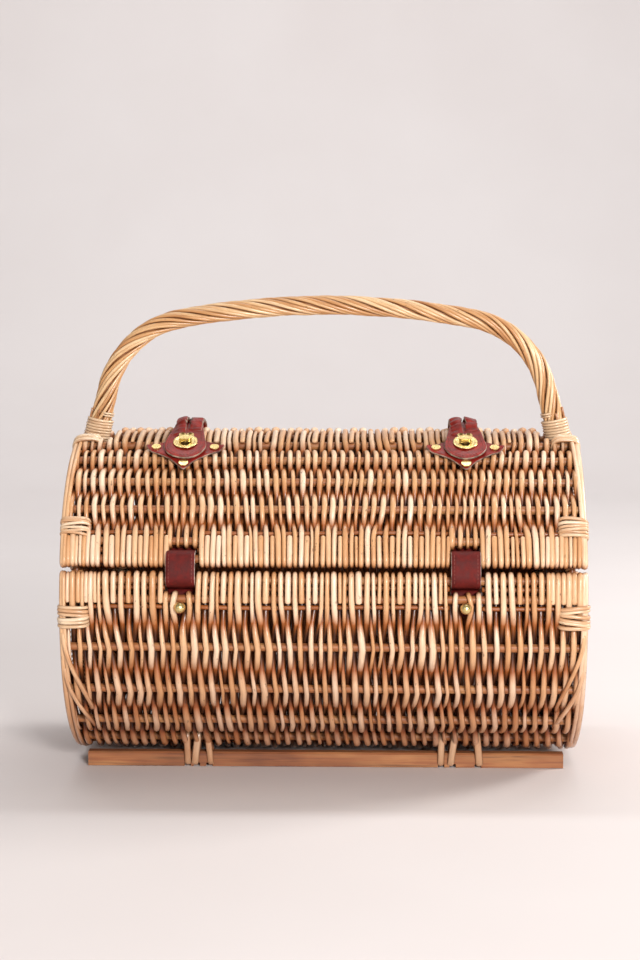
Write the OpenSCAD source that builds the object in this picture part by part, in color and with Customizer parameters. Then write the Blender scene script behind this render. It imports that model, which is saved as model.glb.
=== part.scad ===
// Barrel-shaped wicker picnic basket with a front-opening lid.
// Frame: X along the barrel, -Y is the front, Z is up, origin on the table under the middle.
// An angle round the barrel is 0 at the front, 90 at the top and -90 at the bottom.

/* [Barrel] */
// Length of the woven wall along X
barrel_length = 438; // [434:1:442]
// Outer radius of the woven wall
barrel_radius = 142; // [141:0.5:143]
// Thickness of the woven wall
wall = 15; // [14.5:0.5:15]
// Height of the barrel's axis above the table
axis_height = 148; // [147:0.5:149]
// Width of the strand bundle at each end
edge_width = 22; // [21:0.5:23]

/* [Lid] */
// Angle of the seam at the front, where the lid hinges
seam_angle = 15.4; // [15.2:0.1:15.6]
// Half of the gap at the front seam, in degrees
seam_half_gap = 0.5; // [0.4:0.1:0.6]
// Half of the gap at the top seam, in degrees
top_half_gap = 0.7; // [0.6:0.1:0.8]

/* [Stakes] */
// Diameter of the rods that the strands are woven round
stake_d = 7; // [6.6:0.1:7]
// Diameter of the upright sticks in the end panels
stick_d = 6; // [5:0.5:6.5]
// Spacing of the sticks in the end panels
stick_pitch = 20; // [18:1:22]

/* [Handle] */
// Height of the handle's top above the table
handle_top = 408.5; // [406:0.5:411]
// Diameter of the twisted bundle of rods
handle_d = 17.6; // [16.8:0.2:18.6]
// Diameter of the rod in the middle of the handle
core_d = 10; // [9:0.5:10]

/* [Runners] */
// Length of each wooden runner
runner_length = 414; // [400:1:420]
// Depth of each runner from front to back
runner_depth = 12; // [11:0.5:12]
// Height of each runner
runner_height = 12.5; // [11:0.5:12.5]
// Distance of each runner's middle from the centre plane
runner_offset = 55; // [54.5:0.5:55.5]

/* [Leather and brass] */
// Distance of the hinge straps from the centre plane
strap_x = 118; // [116:1:119]
// Width of a hinge strap
strap_width = 25; // [22:1:27]
// Distance of the turnlocks from the centre plane
lock_x = 120; // [120:1:122]
// Angle of the turnlock's post round the barrel
lock_angle = 66; // [65.8:0.1:66.2]
// Diameter of the ball on each stud
ball_d = 9.5; // [8:0.5:10]

/* [Hidden] */
$fn = 96;

half_length = barrel_length / 2;
inner_radius = barrel_radius - wall;
mid_radius = barrel_radius - wall / 2;
rod_fit = 0.05;
edge_gap = 0.3;
weave_half = half_length - edge_width - edge_gap;

// The body's wall runs from under the front seam, round the bottom and up the back.
body_from = top_half_gap - 270;
body_to = seam_angle - seam_half_gap;
lid_from = seam_angle + seam_half_gap;
lid_to = 90 - top_half_gap;

// Rods along X, by their angle
stake_step = 17.5;
body_stake_angles = concat([for (i = [0:5]) 5 - stake_step * i],
  [for (i = [0:9]) -97.5 - stake_step * i]);
lid_stake_angles = [for (i = [0:4]) 25.7 + 12.4 * i];
rim_inset = 3.3;
front_rim_angle = body_to - rim_inset;
rear_rim_angle = body_from + rim_inset;
lid_lower_rim_angle = lid_from + rim_inset;
lid_top_rim_angle = lid_to - rim_inset;
stake_half = half_length - 3;

// The handle's feet pass through notches in the top corners.
notch_x = 187;
notch_front = 82;
notch_rear = -262;
rim_half = notch_x - 1;

// End panels
hoop_outer = inner_radius - 1;
hoop_inner = hoop_outer - 8;
end_thickness = 14;
end_x = 207;

// Cane bindings round the edge bundles
binding_half_angle = 3;
binding_depth = 1.5;
binding_proud = 1.2;
body_binding_angles = [-1, -179];
lid_binding_angles = [30];

// Handle, as arcs in the XZ plane
top_arc_r = 708;
shoulder_r = 82;
shoulder_from = 10.5;
shoulder_to = 76;
leg_length = 51.3;
foot_bend_r = 30;
top_arc_z = handle_top - handle_d / 2 - top_arc_r;
shoulder_x = (top_arc_r - shoulder_r) * sin(shoulder_from);
shoulder_z = top_arc_z + (top_arc_r - shoulder_r) * cos(shoulder_from);
leg_x = shoulder_x + shoulder_r * sin(shoulder_to);
leg_z = shoulder_z + shoulder_r * cos(shoulder_to);
foot_x = leg_x + leg_length * cos(shoulder_to);
foot_z = leg_z - leg_length * sin(shoulder_to);
shaft_x = foot_x + foot_bend_r * (1 - sin(shoulder_to));
core_bottom = 48;
top_steps = 5;
shoulder_steps = 9;
rod_sides = 16;
handle_binding_d = 24;
handle_binding_h = 22;

// Willow ties round the runners
tie_width = 5;
tie_thickness = 2.2;
tie_top = 30;
front_tie_x = [-120, -112, -101, 101, 111, 133];
rear_tie_x = [-128, -112, 112, 128];

// Leather lies just above the weave.
leather = 2.4;
strap_r = barrel_radius + 0.3;
strap_tail_r = inner_radius - 2.8;
strap_low = 7.9;
strap_high = 23.4;
strap_tail_low = -1.5;
strap_tail_high = 29;
stud_angle = 2.4;
stud_shank_d = 4;
ball_r_out = barrel_radius + 2.4;
diamond_r = barrel_radius + 0.3;
diamond_t = 2.1;
diamond_angle = 65.2;
diamond_half_width = 32;
diamond_half_height = 30;
rivet_reach_x = 25;
rivet_reach_down = 23;
rivet_head_d = 8;
base_r = diamond_r + diamond_t + 0.1;
tab_r = barrel_radius + 4;
tab_t = 2.6;
tab_width = 36;
tab_neck = 27;
tab_round_angle = 64.5;
tab_end = 90.9;
tab_pivot = 91.5;
anchor_from = 92.3;
anchor_slot = 99;
eyelet_r = tab_r + tab_t + 0.15;
ear_x = 3.2;
ear_y = 12.6;

// Point at radius r and angle a in the (Y, Z) plane
function polar(r, a) = [-r * cos(a), r * sin(a)];

// Extrudes a (Y, Z) outline from x0 to x1, centred on the barrel's axis
module along_x(x0, x1) {
  translate([x0, 0, axis_height]) rotate([90, 0, 90]) linear_extrude(x1 - x0) children();
}

// Local frame at x and angle a: Z points out of the barrel, Y towards the top
module at_angle(x, a) {
  translate([x, 0, axis_height]) rotate([90 - a, 0, 0]) children();
}

module wedge(a0, a1) {
  steps = ceil((a1 - a0) / 30);
  far = 2 * barrel_radius;
  polygon(concat([[0, 0]], [for (i = [0:steps]) polar(far, a0 + (a1 - a0) * i / steps)]));
}

module ring_sector(r0, r1, a0, a1) {
  intersection() {
    difference() {
      circle(r1);
      circle(r0);
    }
    wedge(a0, a1);
  }
}

module rods(angles, half, d) {
  for (a = angles)
    at_angle(0, a) translate([-half, 0, mid_radius]) rotate([0, 90, 0]) cylinder(h = 2 * half, d = d);
}

module mirror_x(side) {
  mirror([side < 0 ? 1 : 0, 0, 0]) children();
}

// A woven wall with channels for its rods
module woven_wall(a0, a1, stakes, rims) {
  difference() {
    along_x(-weave_half, weave_half) ring_sector(inner_radius, barrel_radius, a0, a1);
    rods(stakes, half_length, stake_d + 2 * rod_fit);
    rods(rims, half_length, stake_d + 2 * rod_fit);
    handle_notches();
  }
}

module handle_notches() {
  for (side = [-1, 1])
    mirror_x(side) along_x(notch_x, half_length + 1)
      ring_sector(inner_radius - 1, barrel_radius + 1, notch_front, notch_rear + 360);
}

// The bundle of strands along one end of a wall, with a waist for each binding
module edge_bundle(side, a0, a1, stakes, bindings) {
  mirror_x(side) difference() {
    along_x(half_length - edge_width, half_length) ring_sector(inner_radius, barrel_radius, a0, a1);
    rods(stakes, stake_half + rod_fit, stake_d + 2 * rod_fit);
    for (a = bindings) binding_waist(a);
  }
}

module binding_waist(a) {
  x0 = half_length - edge_width;
  difference() {
    along_x(x0 - 1, half_length + 1)
      ring_sector(inner_radius - 1, barrel_radius + 1,
        a - binding_half_angle - 0.1, a + binding_half_angle + 0.1);
    along_x(x0 + binding_depth, half_length - binding_depth)
      ring_sector(inner_radius + binding_depth, barrel_radius - binding_depth,
        a - binding_half_angle - 1, a + binding_half_angle + 1);
  }
}

// Cane wound round an edge bundle
module cane_binding(side, a) {
  x0 = half_length - edge_width;
  mirror_x(side) difference() {
    along_x(x0 - edge_gap / 2, half_length + binding_proud)
      ring_sector(inner_radius - 0.6, barrel_radius + binding_proud,
        a - binding_half_angle, a + binding_half_angle);
    along_x(x0 + binding_depth - 0.05, half_length - binding_depth + 0.05)
      ring_sector(inner_radius + binding_depth - 0.05, barrel_radius - binding_depth + 0.05,
        a - 2 * binding_half_angle, a + 2 * binding_half_angle);
  }
}

// ---- basket: walls ----

module body_weave() {
  color("#d9a876") difference() {
    woven_wall(body_from, body_to, body_stake_angles, [front_rim_angle, rear_rim_angle]);
    for (side = [-1, 1]) {
      strap_slot(side, strap_low);
      stud_hole(side);
      anchor_slots(side);
    }
    for (x = front_tie_x) tie_slot(x, -runner_offset);
    for (x = rear_tie_x) tie_slot(x, runner_offset);
  }
}

module strap_slot(side, a) {
  x0 = side * strap_x - strap_width / 2 - 0.4;
  along_x(x0, x0 + strap_width + 0.8)
    ring_sector(inner_radius - 1, barrel_radius + 1, a - 0.3, a + 1.3);
}

// The shank's hole, and the hollow between the strands that the ball sits in
module stud_hole(side) {
  at_angle(side * strap_x, stud_angle) {
    cylinder(h = barrel_radius + 10, d = stud_shank_d + 0.1);
    translate([0, 0, ball_r_out]) sphere(d = ball_d + 0.3);
  }
}

module anchor_slots(side) {
  x0 = side * lock_x - tab_neck / 2 - 0.4;
  along_x(x0, x0 + tab_neck + 0.8)
    ring_sector(inner_radius - 1, barrel_radius + 1, anchor_slot - 0.2, anchor_slot + 1.4);
}

module tie_slot(x, y) {
  w = tie_width + 0.6;
  d = runner_depth + 2 * tie_thickness + 1;
  translate([x - w / 2, y - d / 2, 0]) cube([w, d, tie_top + tie_thickness + 3]);
}

module body_stakes() {
  color("#a8703c") rods(body_stake_angles, stake_half, stake_d);
}

module body_front_rim() {
  color("#a8703c") rods([front_rim_angle], weave_half, stake_d);
}

module body_rear_rim() {
  color("#a8703c") rods([rear_rim_angle], rim_half, stake_d);
}

module body_edge(side) {
  color("#dcb07e")
    edge_bundle(side, notch_rear, body_to, body_stake_angles, body_binding_angles);
}

module body_binding(side) {
  color("#e8c490") for (a = body_binding_angles) cane_binding(side, a);
}

// ---- basket: end panels ----

module end_weave(side) {
  color("#d9a876") difference() {
    mirror_x(side) along_x(end_x - end_thickness / 2, end_x + end_thickness / 2)
      circle(hoop_inner - 0.3);
    end_stick_rods(side, stick_d + 2 * rod_fit, hoop_inner);
    core_shaft(side, core_bottom - 0.1);
  }
}

module end_hoop(side) {
  color("#b98550") difference() {
    mirror_x(side) along_x(end_x - end_thickness / 2, end_x + end_thickness / 2)
      difference() {
        circle(hoop_outer);
        circle(hoop_inner);
      }
    core_shaft(side, core_bottom);
  }
}

// The hole that the handle's core runs down
module core_shaft(side, bottom) {
  translate([side * shaft_x, 0, bottom]) cylinder(h = foot_z - bottom, d = core_d + 4 * rod_fit);
}

// Upright sticks either side of the handle's shaft, each as long as the panel is there
module end_stick_rods(side, d, radius) {
  for (i = [-5:5])
    if (i != 0) {
      reach = sqrt(radius * radius - pow(abs(i) * stick_pitch + d / 2, 2)) - 1;
      translate([side * end_x, i * stick_pitch, axis_height - reach]) cylinder(h = 2 * reach, d = d);
    }
}

module end_sticks(side) {
  color("#a8703c") end_stick_rods(side, stick_d, hoop_inner - 1);
}

// ---- handle ----

// Stations along the right half of the handle's centre line: x, z and slope
function arch_station(cx, cz, r, a) = [cx + r * sin(a), cz + r * cos(a), a];

function right_stations() = concat(
  [for (i = [1:top_steps]) arch_station(0, top_arc_z, top_arc_r, shoulder_from * i / top_steps)],
  [for (i = [1:shoulder_steps]) arch_station(shoulder_x, shoulder_z, shoulder_r,
    shoulder_from + (shoulder_to - shoulder_from) * i / shoulder_steps)],
  [[foot_x, foot_z, shoulder_to]]);

function shaft_stations() = concat(
  [for (i = [1:2]) arch_station(shaft_x - foot_bend_r, foot_z - foot_bend_r * cos(shoulder_to),
    foot_bend_r, shoulder_to + (90 - shoulder_to) * i / 2)],
  [[shaft_x, core_bottom, 90]]);

// Both halves in one run, from the left end over the top to the right end
function whole_arch(half) = concat(
  [for (i = [len(half) - 1:-1:0]) [-half[i][0], half[i][1], -half[i][2]]],
  [[0, top_arc_z + top_arc_r, 0]], half);

function ring_points(station, r) = [for (k = [0:rod_sides - 1]) let (t = 360 * k / rod_sides)
  [station[0] + r * cos(t) * sin(station[2]), r * sin(t), station[1] + r * cos(t) * cos(station[2])]];

// Four-sided faces between each ring of points and the next, from the first point at start
function side_faces(rings, start, flip) = [for (i = [0:rings - 2], k = [0:rod_sides - 1])
  let (a = start + i * rod_sides + k, b = start + i * rod_sides + (k + 1) % rod_sides,
    c = b + rod_sides, d = a + rod_sides)
  flip ? [a, b, c, d] : [d, c, b, a]];

module swept_rod(stations, r) {
  n = len(stations);
  last = (n - 1) * rod_sides;
  polyhedron([for (st = stations) each ring_points(st, r)],
    concat(side_faces(n, 0, false), [[for (k = [0:rod_sides - 1]) k]],
      [[for (k = [rod_sides - 1:-1:0]) last + k]]));
}

module swept_sleeve(stations, r, bore) {
  n = len(stations);
  count = n * rod_sides;
  last = (n - 1) * rod_sides;
  ends = [for (k = [0:rod_sides - 1]) let (m = (k + 1) % rod_sides)
    each [[k, m, count + m, count + k],
      [last + m, last + k, count + last + k, count + last + m]]];
  polyhedron(concat([for (st = stations) each ring_points(st, r)],
      [for (st = stations) each ring_points(st, bore)]),
    concat(side_faces(n, 0, false), side_faces(n, count, true), ends));
}

module leg(d, from, to) {
  translate([leg_x, 0, leg_z]) rotate([0, 90 + shoulder_to, 0])
    translate([0, 0, from]) cylinder(h = to - from, d = d);
}

module handle_core() {
  color("#a8703c") swept_rod(whole_arch(concat(right_stations(), shaft_stations())), core_d / 2);
}

module handle_twist() {
  color("#dcb07e") swept_sleeve(whole_arch(right_stations()), handle_d / 2, core_d / 2 + 0.2);
}

module handle_binding(side) {
  color("#ecd0a0") mirror_x(side) difference() {
    leg(handle_binding_d, leg_length - 1.5 - handle_binding_h, leg_length - 1.5);
    leg(handle_d + 2 * rod_fit, 0, leg_length);
  }
}

// ---- runners ----

module runner(y, ties) {
  chamfer = 1.5;
  d = runner_depth / 2;
  h = runner_height;
  color("#b07a4a") difference() {
    translate([-runner_length / 2, y, 0]) rotate([90, 0, 90]) linear_extrude(runner_length)
      polygon([[-d, 0], [d, 0], [d, h - chamfer], [d - chamfer, h], [chamfer - d, h], [-d, h - chamfer]]);
    for (x = ties)
      translate([x - tie_width / 2 - 0.3, y - d - 1, -1])
        cube([tie_width + 0.6, runner_depth + 2, 1 + 0.6 + tie_thickness + 0.2]);
  }
}

module front_runner() { runner(-runner_offset, front_tie_x); }

module rear_runner() { runner(runner_offset, rear_tie_x); }

module runner_ties(y, places) {
  inside = runner_depth + 0.4;
  outside = inside + 2 * tie_thickness;
  bottom = 0.6;
  color("#dcb07e") for (x = places)
    translate([x - tie_width / 2, y, bottom]) difference() {
      translate([0, -outside / 2, 0]) cube([tie_width, outside, tie_top + tie_thickness - bottom]);
      translate([-1, -inside / 2, tie_thickness])
        cube([tie_width + 2, inside, tie_top - tie_thickness - bottom]);
    }
}

module front_runner_ties() { runner_ties(-runner_offset, front_tie_x); }

module rear_runner_ties() { runner_ties(runner_offset, rear_tie_x); }

// ---- leather hinges and their studs ----

// A strap lies over the seam and passes through both walls to a tail on the inside.
module hinge_strap(side) {
  x0 = side * strap_x - strap_width / 2;
  color("#6b2a2a") difference() {
    along_x(x0, x0 + strap_width) {
      ring_sector(strap_r, strap_r + leather, strap_low, strap_high);
      ring_sector(strap_tail_r, strap_r + leather, strap_low, strap_low + 1);
      ring_sector(strap_tail_r, strap_r + leather, strap_high - 1, strap_high);
      ring_sector(strap_tail_r, strap_tail_r + leather, strap_tail_low, strap_low + 1);
      ring_sector(strap_tail_r, strap_tail_r + leather, strap_high - 1, strap_tail_high);
    }
    stud_hole(side);
  }
}

module ball_stud(side) {
  shank_from = strap_tail_r - 2.6;
  color("#c9a24a") at_angle(side * strap_x, stud_angle) {
    translate([0, 0, shank_from]) cylinder(h = ball_r_out - shank_from, d = stud_shank_d);
    translate([0, 0, ball_r_out]) sphere(d = ball_d);
    translate([0, 0, shank_from]) cylinder(h = 2, d = 9);
  }
}

// ---- lid ----

module lid_weave() {
  color("#d9a876") difference() {
    woven_wall(lid_from, lid_to, lid_stake_angles, [lid_lower_rim_angle, lid_top_rim_angle]);
    for (side = [-1, 1]) {
      strap_slot(side, strap_high - 1);
      rivet_holes(side);
    }
  }
}

module lid_stakes() {
  color("#a8703c") rods(lid_stake_angles, stake_half, stake_d);
}

module lid_lower_rim() {
  color("#a8703c") rods([lid_lower_rim_angle], weave_half, stake_d);
}

module lid_top_rim() {
  color("#a8703c") rods([lid_top_rim_angle], rim_half, stake_d);
}

module lid_edge(side) {
  color("#dcb07e")
    edge_bundle(side, lid_from, notch_front, lid_stake_angles, lid_binding_angles);
}

module lid_binding(side) {
  color("#e8c490") for (a = lid_binding_angles) cane_binding(side, a);
}

// ---- turnlocks ----

module rivet_places(side) {
  drop = rivet_reach_down / barrel_radius * 180 / PI;
  for (i = [-1, 1]) at_angle(side * lock_x + i * rivet_reach_x, diamond_angle) children();
  at_angle(side * lock_x, diamond_angle - drop) children();
}

module rivet_holes(side) {
  rivet_places(side) cylinder(h = barrel_radius + 10, d = 2.5);
}

// Leather plate, bent to the barrel, that carries the lock
module diamond_plate(side) {
  color("#5e2424") difference() {
    intersection() {
      along_x(side * lock_x - diamond_half_width, side * lock_x + diamond_half_width)
        ring_sector(diamond_r, diamond_r + diamond_t, 40, 90);
      at_angle(side * lock_x, diamond_angle) translate([0, 0, barrel_radius - 12])
        linear_extrude(30) polygon([[diamond_half_width, 0], [0, diamond_half_height],
          [-diamond_half_width, 0], [0, -diamond_half_height]]);
    }
    rivet_holes(side);
  }
}

module diamond_rivets(side) {
  head_r = diamond_r + diamond_t + 0.1;
  tail_r = inner_radius - 1.6;
  color("#c9a24a") rivet_places(side) {
    translate([0, 0, tail_r]) cylinder(h = head_r - tail_r + 0.1, d = 2.4);
    translate([0, 0, head_r]) cylinder(h = 1.2, d = rivet_head_d);
    translate([0, 0, tail_r]) cylinder(h = 1.2, d = 5);
  }
}

// A slot shape with round ends, x wide and y high
module oval(x, y) {
  d = min(x, y);
  square(x > y ? [x - d, d] : [d, y - d], center = true);
  for (i = [-1, 1]) translate([i * (x - d) / 2, i * (y - d) / 2]) circle(d = d);
}

module turnlock_base(side) {
  color("#c9a24a") at_angle(side * lock_x, lock_angle) difference() {
    union() {
      translate([0, 0, base_r]) linear_extrude(1.1) oval(9, 16);
      translate([0, 0, base_r]) cylinder(h = eyelet_r + 1.4 - base_r, d = 5.6);
    }
    translate([0, 0, base_r + 1.6]) cylinder(h = 10, d = 3.1);
  }
}

module turn_knob(side) {
  top = eyelet_r + 1.5;
  color("#d8b45e") at_angle(side * lock_x, lock_angle) {
    translate([0, 0, base_r + 1.8]) cylinder(h = top - base_r - 1.7, d = 3);
    translate([0, 0, top]) linear_extrude(3.2) oval(11, 5.2);
  }
}

// Leather tab with a rounded end and a slot for the lock's post
module locking_tab(side) {
  drop = tab_r * (lock_angle - tab_round_angle) * PI / 180;
  reach = tab_r * (tab_end - lock_angle) * PI / 180;
  color("#6b2a2a") difference() {
    intersection() {
      along_x(side * lock_x - tab_width, side * lock_x + tab_width)
        ring_sector(tab_r, tab_r + tab_t, 50, tab_end);
      at_angle(side * lock_x, lock_angle) translate([0, 0, tab_r - 30]) linear_extrude(50) {
        translate([0, -drop]) circle(d = tab_width);
        polygon([[-tab_width / 2, -drop], [tab_width / 2, -drop],
          [tab_neck / 2, reach], [-tab_neck / 2, reach]]);
      }
    }
    at_angle(side * lock_x, lock_angle) translate([0, 0, tab_r - 5]) linear_extrude(20) oval(8.4, 15);
    eyelet_rivet_places(side) cylinder(h = 20, d = 1.7);
  }
}

module eyelet_rivet_places(side) {
  at_angle(side * lock_x, lock_angle)
    for (i = [-1, 1]) translate([i * ear_x, ear_y, tab_r - 3]) children();
}

// Brass plate on the tab: an oval with a slot, and two eared holes above it
module eyelet_plate(side) {
  color("#d8b45e") difference() {
    at_angle(side * lock_x, lock_angle) translate([0, 0, eyelet_r]) linear_extrude(1) difference() {
      union() {
        oval(20, 24);
        for (i = [-1, 1]) translate([i * ear_x, ear_y]) circle(d = 6);
      }
      oval(7, 13.4);
    }
    eyelet_rivet_places(side) cylinder(h = 20, d = 1.7);
  }
}

module eyelet_rivets(side) {
  color("#b8923c") eyelet_rivet_places(side) {
    translate([0, 0, 3.2]) cylinder(h = eyelet_r + 1.2 - tab_r, d = 1.6);
    translate([0, 0, eyelet_r + 1.1 - tab_r + 3]) cylinder(h = 0.6, d = 3);
  }
}

// Leather loop round the rear rim that the tab is cut in one with
module tab_anchor(side) {
  x0 = side * lock_x - tab_neck / 2;
  color("#6b2a2a") along_x(x0, x0 + tab_neck) {
    ring_sector(tab_r, tab_r + tab_t, anchor_from, anchor_slot + 1.2);
    ring_sector(tab_r, tab_r + 6.5, anchor_from + 0.7, anchor_from + 4.2);
    ring_sector(strap_tail_r, tab_r + tab_t, anchor_slot, anchor_slot + 1.2);
    ring_sector(strap_tail_r, strap_tail_r + leather, anchor_from - 0.5, anchor_slot + 1.2);
  }
}

body_weave();
body_stakes();
body_front_rim();
body_rear_rim();
body_edge(-1);  // body_left_edge
body_edge(1);  // body_right_edge
body_binding(-1);  // body_left_binding
body_binding(1);  // body_right_binding
end_weave(-1);  // left_end_weave
end_weave(1);  // right_end_weave
end_hoop(-1);  // left_end_hoop
end_hoop(1);  // right_end_hoop
end_sticks(-1);  // left_end_sticks
end_sticks(1);  // right_end_sticks
handle_core();
handle_twist();
handle_binding(-1);  // left_handle_binding
handle_binding(1);  // right_handle_binding
front_runner();
rear_runner();
front_runner_ties();
rear_runner_ties();
hinge_strap(-1);  // hinge_strap_left
hinge_strap(1);  // hinge_strap_right
ball_stud(-1);  // ball_stud_left
ball_stud(1);  // ball_stud_right
tab_anchor(-1);  // tab_anchor_left
tab_anchor(1);  // tab_anchor_right
lid_weave();
lid_stakes();
lid_lower_rim();
lid_top_rim();
lid_edge(-1);  // lid_left_edge
lid_edge(1);  // lid_right_edge
lid_binding(-1);  // lid_left_binding
lid_binding(1);  // lid_right_binding
diamond_plate(-1);  // diamond_plate_left
diamond_plate(1);  // diamond_plate_right
diamond_rivets(-1);  // diamond_rivets_left
diamond_rivets(1);  // diamond_rivets_right
turnlock_base(-1);  // turnlock_base_left
turnlock_base(1);  // turnlock_base_right
turn_knob(-1);  // turn_knob_left
turn_knob(1);  // turn_knob_right
locking_tab(-1);  // locking_tab_left
locking_tab(1);  // locking_tab_right
eyelet_plate(-1);  // eyelet_plate_left
eyelet_plate(1);  // eyelet_plate_right
eyelet_rivets(-1);  // eyelet_rivets_left
eyelet_rivets(1);  // eyelet_rivets_right
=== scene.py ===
"""Looks of a barrel-shaped wicker picnic basket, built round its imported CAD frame.

Lengths are in millimetres until a mesh is made. An angle round the barrel is in degrees,
0 at the front, 90 at the top and -90 at the bottom, as in the CAD source.
"""

import math

import bpy
import numpy as np
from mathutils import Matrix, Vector


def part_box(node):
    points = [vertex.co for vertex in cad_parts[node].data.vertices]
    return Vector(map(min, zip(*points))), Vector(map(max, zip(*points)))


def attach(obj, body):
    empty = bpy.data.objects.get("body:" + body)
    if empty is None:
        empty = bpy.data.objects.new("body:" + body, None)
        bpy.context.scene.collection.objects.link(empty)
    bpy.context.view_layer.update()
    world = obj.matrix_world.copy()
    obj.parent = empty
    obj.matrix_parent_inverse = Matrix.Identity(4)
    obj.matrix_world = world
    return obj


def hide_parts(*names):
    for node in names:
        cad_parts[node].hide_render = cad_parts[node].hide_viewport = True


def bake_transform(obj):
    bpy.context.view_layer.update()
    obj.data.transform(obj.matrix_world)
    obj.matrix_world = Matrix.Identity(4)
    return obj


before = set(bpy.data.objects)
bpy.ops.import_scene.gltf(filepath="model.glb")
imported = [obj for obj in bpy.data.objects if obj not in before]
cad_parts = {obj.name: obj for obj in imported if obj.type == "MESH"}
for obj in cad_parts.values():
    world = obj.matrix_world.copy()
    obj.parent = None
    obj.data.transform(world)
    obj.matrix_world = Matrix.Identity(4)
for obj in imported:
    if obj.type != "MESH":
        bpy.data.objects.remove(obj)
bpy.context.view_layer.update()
MM = 0.001
X_AXIS, Y_AXIS, Z_AXIS = np.eye(3)
SIDES = ((-1, "left"), (1, "right"))


# ---- sizes worked out from the frame ----

def box_mm(node):
    lo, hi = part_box(node)
    return np.array(lo) / MM, np.array(hi) / MM


def middle(node):
    lo, hi = box_mm(node)
    return (lo + hi) / 2


def half_size(node):
    lo, hi = box_mm(node)
    return (hi - lo) / 2


AXIS_Z = middle("left_end_hoop")[2]


def angle_of(node):
    """Angle round the barrel of the middle of a node's box."""
    _, y, z = middle(node)
    return math.degrees(math.atan2(z - AXIS_Z, -y))


wall_lo, wall_hi = box_mm("body_weave")
OUTER = AXIS_Z - wall_lo[2]
WEAVE_HALF = wall_hi[0]
ROD_R = half_size("body_front_rim")[2]
rim_middle = middle("body_front_rim")
MID = math.hypot(rim_middle[1], rim_middle[2] - AXIS_Z)
BODY_RIM = angle_of("body_front_rim")
REAR_RIM = angle_of("body_rear_rim") - 360
LID_RIM = angle_of("lid_lower_rim")
TOP_RIM = angle_of("lid_top_rim")
RIM_HALF = box_mm("lid_top_rim")[1][0]
EDGE_OUT = box_mm("body_right_edge")[1][0]
EDGE_IN = box_mm("body_right_edge")[0][0]
WALL_HALF = EDGE_OUT - 5.0  # the strands run on into the edge bundles
# angles of the rods that the strands are woven round, as in the CAD source: the body's first
# six come down the front, the other ten start just past the bottom and go up the back
BODY_STEP, LID_STEP = 17.5, 12.4
BODY_RODS = [5 - BODY_STEP * i for i in range(6)] + [-97.5 - BODY_STEP * i for i in range(10)]
LID_RODS = [25.7 + LID_STEP * i for i in range(5)]
STRAP_X = middle("hinge_strap_right")[0]
STRAP_HALF = half_size("hinge_strap_right")[0]
STUD_ANGLE = angle_of("ball_stud_right")
LOCK_X = middle("turn_knob_right")[0]

SWING = 5.3  # how far a strand's centre line swings off the middle of the wall
HOOK_R = 5.3  # how far it stays off that middle where it turns round a rim rod
HOOK_REACH = 5.75  # how far past the rim rod's centre it turns
NOTCH_FRONT, NOTCH_REAR = 82.0, -262.0  # where the walls stop for the handle's feet


def polar(r, a):
    """Y and Z of a point at radius r and angle a in degrees; both can be arrays."""
    a = np.radians(a)
    return -r * np.cos(a), AXIS_Z + r * np.sin(a)


def spots(x, r, a):
    """Points at x along the barrel, radius r and angle a in degrees."""
    return np.stack(np.broadcast_arrays(x, *polar(r, a)), axis=-1)


def circle(n):
    return np.linspace(0, 2 * math.pi, n, endpoint=False)


def squarish(t, power):
    """Cosines and sines of the angles t, pushed out from a circle towards a square."""
    c, s = np.cos(t), np.sin(t)
    return np.stack([c, s]) * (np.abs(c) ** power + np.abs(s) ** power) ** (-1 / power)


def radial(path):
    """Directions straight out of the barrel at the points of a path."""
    return np.column_stack([np.zeros(len(path)), path[:, 1], path[:, 2] - AXIS_Z])


def unit(vectors):
    return vectors / np.linalg.norm(vectors, axis=1)[:, None]


def smooth(t):
    """Eases from 0 to 1 as t does."""
    t = np.clip(t, 0, 1)
    return t * t * (3 - 2 * t)


# ---- meshes ----

def mesh_piece(name, material, co, quads, tris, attributes):
    """An object from points in millimetres, with its faces and its numbers at each point."""
    mesh = bpy.data.meshes.new(name)
    mesh.from_pydata((co * MM).tolist(), [], [*quads.tolist(), *tris.tolist()])
    mesh.shade_smooth()
    for title, values in attributes.items():
        many = values.ndim > 1
        layer = mesh.attributes.new(title, "FLOAT_VECTOR" if many else "FLOAT", "POINT")
        layer.data.foreach_set("vector" if many else "value", values.astype(np.float32).ravel())
    mesh.validate()
    piece = bpy.data.objects.new(name, mesh)
    bpy.context.scene.collection.objects.link(piece)
    mesh.materials.append(material)
    return piece


def lengths(path):
    """Distance along a path at each of its points."""
    return np.concatenate([[0], np.cumsum(np.linalg.norm(np.diff(path, axis=0), axis=1))])


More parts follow.
